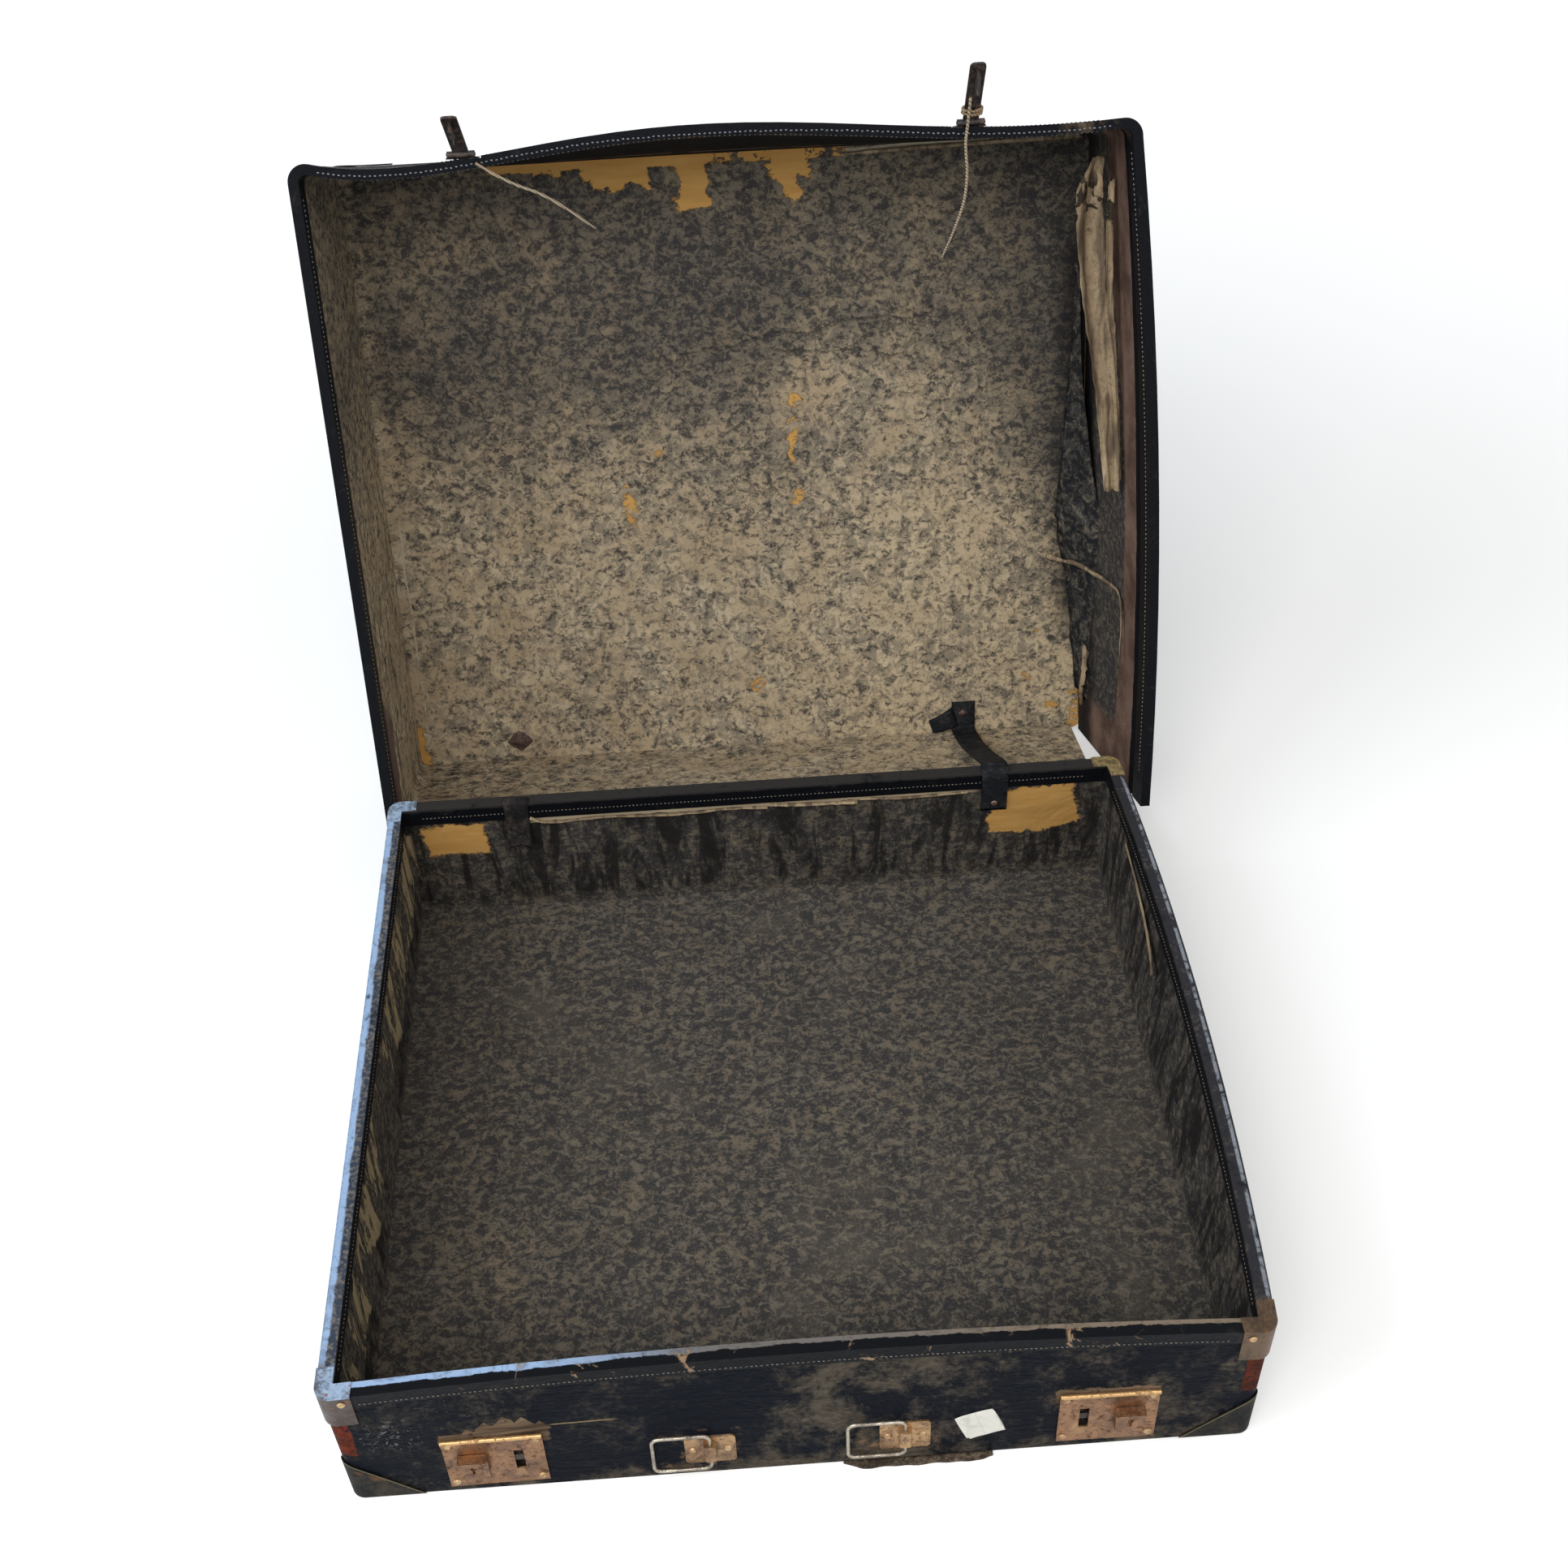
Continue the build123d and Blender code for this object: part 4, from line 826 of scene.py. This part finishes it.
def stitches(name, node, body, seams, material):
    """Row of small thread bumps on a binding; each seam is a list of rays as (start, direction, along)."""
    tree = surface(node)
    bead = bmesh.new()
    bmesh.ops.create_uvsphere(bead, u_segments=6, v_segments=5, radius=1.0)
    mesh = bmesh.new()
    for start, direction, along in seams:
        hit, normal, _, _ = tree.ray_cast(start, direction, RAY_REACH)
        if hit is None or abs(normal.dot(direction)) < 0.5:
            continue
        normal = -direction if normal.dot(direction) > 0 else normal
        along = (along - normal * along.dot(normal)).normalized()
        sizes = (along * STITCH_LENGTH / 2, normal.cross(along) * STITCH_HALF_WIDTH, normal * STITCH_HEIGHT)
        basis = Matrix([size * MM for size in sizes]).transposed().to_4x4()
        basis.translation = hit + (normal + noise.random_vector()) * STITCH_LIFT * MM
        corners = [mesh.verts.new(basis @ vertex.co) for vertex in bead.verts]
        for face in bead.faces:
            mesh.faces.new([corners[vertex.index] for vertex in face.verts])
    bead.free()
    return from_bmesh(name, mesh, material, body)


def around(half_x, front, back, z, place, outside=False, pitch=3.1):
    """Rays that reach the four sides of a rim at height z, from inside or from outside."""
    margin, standoff = 24.0, 40.0
    turn = -1 if outside else 1
    rays = []
    for sign, limit in ((-1, front), (1, back)):
        for index in range(int((2 * half_x - 2 * margin) / pitch)):
            start = (-half_x + margin + index * pitch, sign * (limit - turn * standoff), z)
            rays.append((start, (0, sign * turn, 0), (1, 0, 0)))
    for sign in (-1, 1):
        for index in range(int((front + back - 2 * margin) / pitch)):
            start = (sign * (half_x - turn * standoff), -front + margin + index * pitch, z)
            rays.append((start, (sign * turn, 0, 0), (0, 1, 0)))
    origin = place(0, 0, 0)
    return [(place(*start), (place(*ahead) - origin).normalized(), (place(*along) - origin).normalized())
            for start, ahead, along in rays]


def front_rim_face(pitch=3.5, first=-274.0, last=274.0):
    """Rays onto the middle of the lid's front rim face, found with short scans across it."""
    tree = surface("lid_rim_binding")
    rays = []
    for index in range(int((last - first) / pitch) + 1):
        found = []
        for step in range(60):
            spot = opened(first + index * pitch, -278.0 + 0.6 * step, 20.0)
            hit, normal, _, distance = tree.ray_cast(spot, LID_UPWARDS, RAY_REACH)
            if hit is not None and abs(normal.dot(LID_UPWARDS)) > 0.9:
                found.append((distance, spot))
        if len(found) > 4:
            nearest = min(distance for distance, _ in found)
            face = [spot for distance, spot in found if distance < nearest + 1.2 * MM]
            rays.append((face[int(len(face) * 0.62)], LID_UPWARDS, ACROSS))
    return rays


lid_rim = (LID_HALF_WIDTH, LID_FRONT, LID_BACK)
base_rim = (BASE_HALF_WIDTH, BASE_HALF_DEPTH, BASE_HALF_DEPTH)
for name, body, seams, thread in (
        ("lid_rim_face_stitches", "lid", front_rim_face(), thread_pale),
        ("lid_rim_stitches", "lid", around(*lid_rim, 79.0, opened, pitch=3.5), thread_pale),
        ("lid_rim_stitches_outside", "lid", around(*lid_rim, 80.5, opened, outside=True), thread_dull),
        ("base_rim_stitches", "base", around(*base_rim, 112.8, placed), thread_dull),
        ("base_rim_stitches_outside", "base", around(*base_rim, 112.8, placed, outside=True), thread_dull)):
    stitches(name, body + "_rim_binding", body, seams, thread)


def wobble(point, size, amount):
    return noise.noise_vector(point * size) * amount


def stay_strap():
    """Worn stay from the base's back wall over the rim to the lid's panel."""
    rim_end = (256.0, 123.2)
    path = [(243.0, 84.5), (242.9, 100.0), (243.0, 113.0), (243.6, 121.0), (246.5, 124.1), (251.0, 124.4),
            rim_end]
    foot = opened(0, 256.2, 222.5) / MM
    for share in (0.2, 0.4, 0.6, 0.8):
        sag = 3.0 * math.sin(math.pi * share)
        height = rim_end[1] + (foot.z - rim_end[1]) * share - sag
        path.append((rim_end[0] + (foot.y - rim_end[0]) * share, height))
    for y, z in ((254.8, 225.6), (248.0, 229.4), (238.0, 229.9), (229.0, 229.6)):
        turned = opened(0, y, z) / MM
        path.append((turned.y, turned.z))
    rows = []
    for index, point in enumerate(smooth_line([placed(0, y, z) for y, z in path], 6)):
        lift = 0.25 * MM * math.sin(index * 0.31)
        side = STAY_X * MM + wobble(point, 40, 0.0006).x
        rows.append([Vector((side + 10.3 * MM * across, point.y, point.z + lift * abs(across)))
                     for across in (-1, -0.6, -0.2, 0.2, 0.6, 1)])
    made = sheet_of("stay_strap", rows, 1.4, strap_leather, None)
    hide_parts("stay_strap_right", "stay_strap_upper")
    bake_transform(made)


def stay_tail():
    """Folded end of the stay's leather on the lid's panel."""
    rows = []
    for step in range(12):
        share = step / 11
        half = 8.5 - 2.5 * share
        lift = 229.2 - 2.2 * math.sin(math.pi * share)
        x, y = 180.5 - 21.0 * share, 242.0 + 9.0 * share
        rows.append([opened(x + 0.35 * k * half, y + k * half, lift - 0.4 * k * k)
                     for k in (-1, -0.5, 0, 0.5, 1)])
    sheet_of("stay_tail", rows, 1.1, strap_leather, "lid")


def rust_washers():
    """Diamond washers of the stays on the lid's panel, domed and pitted."""
    mesh = bmesh.new()
    corners = 24
    for x, half in ((-201.5, 12.4), (STAY_X, 6.2)):
        rings = []
        for reach, height in ((1.0, 231.5), (0.92, 230.3), (0.62, 229.7), (0.34, 228.6), (0.12, 228.0)):
            ring = []
            for corner in range(corners):
                angle = 2 * math.pi * corner / corners
                way_x, way_y = math.cos(angle), math.sin(angle)
                square = 0.75 / (abs(way_x) + abs(way_y)) + 0.21 if reach > 0.5 else 0.8
                dent = 1 + 0.07 * noise.noise(Vector((way_x * 2, way_y * 2, x + reach)))
                out = half * reach * square * dent
                ring.append(opened(x + out * way_x, 240.5 + 0.86 * out * way_y, height))
            rings.append(ring)
        skin_over(mesh, rings)
    made = from_bmesh("rust_washers", mesh, washer_iron, "lid", smooth=False)
    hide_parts("stay_washers", "stay_lid_rivets")


def torn_stay():
    """Lower stump of the left stay: creased leather with a ragged end, hanging in the base."""
    path = [(250.0, 123.4), (246.6, 123.9), (243.8, 122.6), (242.6, 117.0), (242.5, 108.0), (241.8, 98.0),
            (240.4, 88.0), (239.0, 79.5)]
    line = smooth_line([placed(0, y, z) for y, z in path], 5)
    rows = []
    for index, point in enumerate(line):
        share = index / (len(line) - 1)
        ragged = max(0.0, share - 0.86) / 0.14
        row = []
        for across in (-1, -0.66, -0.33, 0, 0.33, 0.66, 1):
            drop = ragged * (3.0 + 4.0 * noise.noise(Vector((across * 2.3, 1.7, 0)))) * MM
            curl = share * share * (1.8 * across * across) * MM
            x = -STAY_X * MM + across * (10.0 - 1.5 * share) * MM
            shift = wobble(point + Vector((across, 0, 0)) * 0.01, 60, 0.0005)
            row.append(Vector((x, point.y - curl, point.z + drop)) + shift)
        rows.append(row)
    made = sheet_of("torn_stay", rows, 1.3, torn_leather, "base")
    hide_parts("stay_strap_left")


def peeled_strip():
    """Long strip of lining paper that hangs folded along the lid's burst right wall."""
    spine = [(276.0, -238.0, 133.0), (270.5, -214.0, 132.0), (272.0, -180.0, 133.5), (277.0, -130.0, 134.0),
             (284.0, -80.0, 132.5), (289.5, -30.0, 134.0), (293.0, 14.0, 132.5)]
    halves = [4.0, 9.5, 10.5, 9.5, 8.5, 7.0, 6.0]
    line = smooth_line([Vector(point) for point in spine], 14)
    rows = []
    for index, point in enumerate(line):
        share = index / (len(line) - 1)
        spot = share * (len(halves) - 1)
        low = min(int(spot), len(halves) - 2)
        half = halves[low] + (halves[low + 1] - halves[low]) * (spot - low)
        row = []
        for k in range(13):
            across = -1 + k / 6
            fold = 3.6 * math.cos(across * 2.4) + 1.6 * math.sin(across * 5.0 + share * 7.0)
            fold += 3.5 * noise.noise(Vector((across * 1.4, share * 6.0, 3.1)))
            ragged = 1.0 + 0.16 * noise.noise(Vector((share * 26.0, across * 3, 0)))
            x = min(point.x + across * half * ragged, 290.0 + 11.0 * share)
            y = point.y + 2.0 * noise.noise(Vector((across * 3, share * 9, 1)))
            row.append(opened(x, y, point.z - 3.0 + fold * 0.8))
        rows.append(row)
    made = sheet_of("peeled_strip", rows, 0.7, peel, "lid")
    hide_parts("peeled_lining_strip")


def ribbon(name, points, halves, thickness, body, up, curl, ragged, seed, material=peel):
    """Torn ribbon along a line; halves are its half width at both ends, in millimetres like thickness."""
    line = smooth_line(points, 10)
    rows = []
    for index, point in enumerate(line):
        share = index / (len(line) - 1)
        ahead = (line[min(index + 1, len(line) - 1)] - line[max(index - 1, 0)]).normalized()
        across_way = (up - ahead * up.dot(ahead)).normalized()
        out = ahead.cross(across_way)
        width = (halves[0] + (halves[1] - halves[0]) * share) * MM
        width *= 1 + ragged * noise.noise(Vector((share * 18.0 + seed, seed, 0)))
        row = []
        for across in (-1, -0.5, 0, 0.5, 1):
            bend = curl * width * (across * across - 0.5)
            shift = wobble(point + Vector((across, seed, 0)) * 0.004, 90, 0.0004)
            row.append(point + across_way * across * width + out * bend + shift)
        rows.append(row)
    return sheet_of(name, rows, thickness, material, body)


CREASE = [(285, -150), (283, -105), (280, -60), (277, -20), (273, 30), (271, 58), (274, 88), (280, 118),
          (284, 150), (287, 186), (291, 222)]


def torn_lining():
    """Crumpled lining that has come off along the right crease and hangs between panel and burst wall."""
    border = smooth_line([Vector((x - 3.0, y, 229.3)) for x, y in CREASE], 8)
    rows = []
    for index, point in enumerate(border):
        share = index / (len(border) - 1)
        opening = 0.12 + 0.88 * min(1.0, share / 0.45) ** 1.6
        row = []
        for k in range(11):
            u = k / 10
            far = Vector((297.0 + 3.0 * share, point.y + 6.0 * u, 184.0 + 20.0 * share * share))
            spot = point.lerp(far, u * opening)
            fold = 7.0 * math.sin(math.pi * u) * (0.5 + 0.5 * math.sin(share * 14.0)) * opening
            crumple = noise.noise(Vector((share * 20.0, u * 4.0, 4.0))) * 5.0 * opening
            crumple *= math.sin(math.pi * min(u + 0.12, 1.0))
            ragged = noise.noise(Vector((share * 34.0, 0.0, 9.0))) * 3.5 * max(0.0, 1 - 5 * u)
            x = min(spot.x - fold * 0.25 + ragged + crumple * 0.5, 299.0)
            row.append(opened(x, spot.y, max(spot.z - fold - crumple, 130.0)))
        rows.append(row)
    sheet_of("torn_lining", rows, 0.6, loose_lining(), "lid")


stay_strap()
stay_tail()
rust_washers()
torn_stay()
peeled_strip()

# Torn edges along the lid's right crease and its front, and one long shred across the burst wall
ribbon("torn_crease", on_lid_line(*[(x - 2.5, y, 228.2) for x, y in CREASE]),
       (0.9, 1.9), 0.5, "lid", ACROSS, curl=0.9, ragged=1.2, seed=2.0, material=torn_edge_dark)
ribbon("second_fold", on_lid_line((287, -222, 131), (286, -180, 130.5), (289, -120, 132), (294, -50, 131),
                                  (297, 6, 131.5)),
       (2.2, 3.2), 0.6, "lid", ACROSS, curl=0.8, ragged=0.5, seed=3.0)
torn_lining()
ribbon("torn_crease_low", on_lid_line((270, 62, 229), (276, 92, 226), (283, 126, 228), (288, 158, 224),
                                      (290, 196, 228), (294, 228, 225)),
       (1.6, 3.4), 0.5, "lid", ACROSS, curl=0.9, ragged=0.8, seed=5.0)
ribbon("torn_shred", on_lid_line((259.7, 99, 229.0), (269.6, 99.8, 218), (280.5, 98.9, 203),
                                 (291, 101.5, 185), (296.8, 101, 165), (301.5, 101, 140), (302, 109, 128),
                                 (302, 128, 124), (301.5, 154, 122), (300.5, 186, 121)),
       (2.2, 1.1), 0.5, "lid", LID_BACKWARDS, curl=0.5, ragged=0.6, seed=8.0)
ribbon("torn_curl", on_lid_line((292, 176, 214), (289, 196, 206), (288, 216, 210), (291, 236, 222)),
       (4.0, 2.0), 0.5, "lid", LID_UPWARDS, curl=1.1, ragged=0.6, seed=11.0)
ribbon("torn_top_edge", on_lid_line((96, -236.5, 229.6), (140, -238.0, 229.2), (190, -239.0, 229.5),
                                    (240, -240.0, 229.0), (284, -240.5, 229.4)),
       (1.1, 1.8), 0.4, "lid", LID_BACKWARDS, curl=0.3, ragged=0.25, seed=14.0)

# Loose edges of the base's lining, and the strip that hangs on its right wall
BACK_EDGES = (
    (1.5, ((-178, 241.6, 109), (-164, 240.6, 104.5), (-120, 241.4, 105.5), (-67, 240.8, 104),
           (-20, 241.6, 105.5), (8, 241.0, 104.5))),
    (2.0, ((10, 241.2, 107.5), (40, 240.4, 106), (79, 240.9, 104.5))),
    (1.4, ((81, 241.4, 107), (120, 240.6, 106.2), (166, 241.2, 107))))
for number, (half, points) in enumerate(BACK_EDGES):
    ribbon(f"base_lining_edge_{number}", on_base_line(*points), (half, half), 0.4, "base", UPWARDS,
           curl=0.5, ragged=0.5, seed=20.0 + number)
ribbon("base_hanging_strip", on_base_line((279.0, 178, 104), (280.5, 150, 99), (281.0, 115, 94),
                                          (280.0, 80, 88), (278.0, 62, 84)),
       (1.6, 4.2), 0.5, "base", UPWARDS, curl=0.35, ragged=0.2, seed=31.0)


def edge_strip():
    """Peeled hem below the front edge, on the floor."""
    rows = []
    for index in range(49):
        share = index / 48
        reach = 5.6 + 1.2 * noise.noise(Vector((share * 9, 2, 0))) - 4.2 * max(0.0, 0.12 - share) / 0.12
        reach -= 2.5 * max(0.0, share - 0.93) / 0.07
        row = []
        for k in range(5):
            z = 0.62 + 0.25 * noise.noise(Vector((share * 14, k * 0.7, 0))) - 0.1 * k / 4
            row.append(placed(25.0 + 95.0 * share, -253.2 - reach * k / 4, z))
        rows.append(row)
    made = sheet_of("edge_strip", rows, 0.7, peeled_hem, "base")
    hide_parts("loose_edge_strip")


def label():
    """Small blank sticker, a little curled at its corners."""
    low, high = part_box("paper_label")
    centre = (Vector(low) + Vector(high)) / 2
    outwards = Vector((0.0, -1.0, 0.0))
    tree = surface("paper_label")
    turn = math.radians(20.0)
    across, up = Vector((math.cos(turn), 0, math.sin(turn))), Vector((-math.sin(turn), 0, math.cos(turn)))
    rows = []
    for j in range(17):
        row = []
        for i in range(17):
            u, v = -1 + i / 8, -1 + j / 8
            squeeze = 1 - 0.035 * (u * u * v * v)
            point = centre + across * u * 0.0130 * squeeze + up * v * 0.0134 * squeeze
            hit = tree.ray_cast(point + outwards * 0.02, -outwards, 0.06)[0]
            face = hit if hit is not None else Vector((point.x, high[1] - 0.0003, point.z))
            corner = max(0.0, abs(u) + abs(v) - 1.45)
            lift = 0.00012 + 0.0016 * corner**2 + 0.00015 * noise.noise(Vector((u * 2, v * 2, 5)))
            row.append(face + outwards * lift)
        rows.append(row)
    made = sheet_of("label", rows, 0.25, label_paper(), "base")
    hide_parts("paper_label")


def hasp_winding():
    """Turns of string wound round the right hasp's tongue."""
    lean = math.radians(45)
    along = LID_TURN @ Vector((0, -math.sin(lean), -math.cos(lean)))
    out = LID_TURN @ Vector((0, math.cos(lean), -math.sin(lean)))
    pivot = opened(176, -273.215, 75.419)
    centre = pivot + along * 0.0095 - out * 0.0016
    turns, steps = 3.2, 89
    points = []
    for step in range(steps + 1):
        share = step / steps
        angle = 2 * math.pi * turns * share
        rise = (-2.2 + 6.0 * share + 0.8 * math.sin(angle * 0.5)) * MM
        round_it = ACROSS * math.cos(angle) * 6.9 + out * math.sin(angle) * 2.3
        points.append(centre + along * rise + round_it * MM)
    mesh = bmesh.new()
    tube(mesh, points, lambda share, angle: (0.85 + 0.06 * math.cos(3 * angle)) * MM, 9, 0.4)
    from_bmesh("hasp_winding", mesh, string_brown, "hasp_right_body")


def lock_spring(side):
    """Coil between the lock's case and its bolt."""
    wire_radius, turns, steps, travel = 0.33 * MM, 7, 160, 6 * MM
    end_gap, side_gap = 0.35 * MM, 0.45 * MM
    low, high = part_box("lock_spring_" + side)
    middle = (Vector(low) + Vector(high)) / 2
    length = high[0] - low[0]
    radius = min(high[1] - low[1], high[2] - low[2]) / 2 - side_gap
    points = []
    for step in range(steps + 1):
        angle = 2 * math.pi * turns * step / steps
        x = low[0] + end_gap + (length - 2 * end_gap) * step / steps
        points.append(Vector((x, middle.y + radius * math.cos(angle), middle.z + radius * math.sin(angle))))
    mesh = bmesh.new()
    tube(mesh, points, lambda share, angle: wire_radius, 8)
    made = from_bmesh("coil_" + side, mesh, spring_steel, "base")
    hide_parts("lock_spring_" + side)
    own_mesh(made)


edge_strip()
label()
lock_spring("left")
lock_spring("right")
hasp_winding()

# Floor; it glows a little for the camera and in reflections, and its far parts glow more for the camera, so
# that they are as white as the surroundings
floor_mesh = bmesh.new()
bmesh.ops.create_grid(floor_mesh, x_segments=2, y_segments=2, size=40.0)
floor_data = bpy.data.meshes.new("floor")
floor_mesh.to_mesh(floor_data)
floor_mesh.free()
floor = link("floor", floor_data)
floor.location = (0, 0, -0.3 * MM)
pale = Paint("pale_floor", roughness=0.9)
pale.set(Base_Color=pale.mix(pale.noise(1.2, 2.0), (0.85, 0.85, 0.85), (0.88, 0.88, 0.88)),
         Emission_Strength=1.0)
rays = pale.tree.nodes.new("ShaderNodeLightPath")
seen, mirrored = Val(pale, rays.outputs["Is Camera Ray"]), Val(pale, rays.outputs["Is Glossy Ray"])
floor_x, floor_y, _ = pale.axes()
distant = length_of(floor_x, floor_y).edge(0.7, 2.6)
glow = seen * (distant * 0.42 + 0.17) | mirrored * 0.17
pale.set(Emission_Color=pale.mix(glow, (0.0, 0.0, 0.0), (1.0, 1.0, 1.0)))
floor_data.materials.append(pale.material)


def area_light(name, place, target, size, power, colour):
    data = bpy.data.lights.new(name, "AREA")
    data.shape, data.size, data.size_y, data.energy, data.color = "RECTANGLE", size[0], size[1], power, colour
    lamp = link(name, data)
    lamp.location = place
    lamp.rotation_euler = (Vector(target) - Vector(place)).to_track_quat("-Z", "Y").to_euler()


area_light("sky_left", (-2.2, -0.6, 1.9), (0, 0.1, 0.2), (2.2, 1.8), 52, (0.86, 0.93, 1.0))
area_light("key", (-0.5, -2.0, 2.6), (0, 0.2, 0.25), (2.0, 1.4), 62, (1.0, 0.97, 0.92))
area_light("fill", (2.3, -0.8, 1.6), (0, 0.1, 0.2), (1.6, 1.6), 20, (1.0, 0.96, 0.9))

# Surroundings: white for the camera and in reflections, a dim sky as light
world = bpy.data.worlds.new("surroundings")
scene.world = world
world.use_nodes = True
tree = world.node_tree
tree.nodes.clear()
output = tree.nodes.new("ShaderNodeOutputWorld")
blend = tree.nodes.new("ShaderNodeMixShader")
path = tree.nodes.new("ShaderNodeLightPath")
dim, bright = tree.nodes.new("ShaderNodeBackground"), tree.nodes.new("ShaderNodeBackground")
dim.inputs[0].default_value, dim.inputs[1].default_value = (0.90, 0.95, 1.0, 1), 0.42
bright.inputs[0].default_value, bright.inputs[1].default_value = (1, 1, 1, 1), 1.0
seen = path.outputs["Is Camera Ray"]
for ray in ("Is Glossy Ray", "Is Transmission Ray"):
    either = tree.nodes.new("ShaderNodeMath")
    either.operation = "MAXIMUM"
    tree.links.new(seen, either.inputs[0])
    tree.links.new(path.outputs[ray], either.inputs[1])
    seen = either.outputs[0]
tree.links.new(seen, blend.inputs[0])
tree.links.new(dim.outputs[0], blend.inputs[1])
tree.links.new(bright.outputs[0], blend.inputs[2])
tree.links.new(blend.outputs[0], output.inputs[0])
scene.view_settings.view_transform = "Standard"
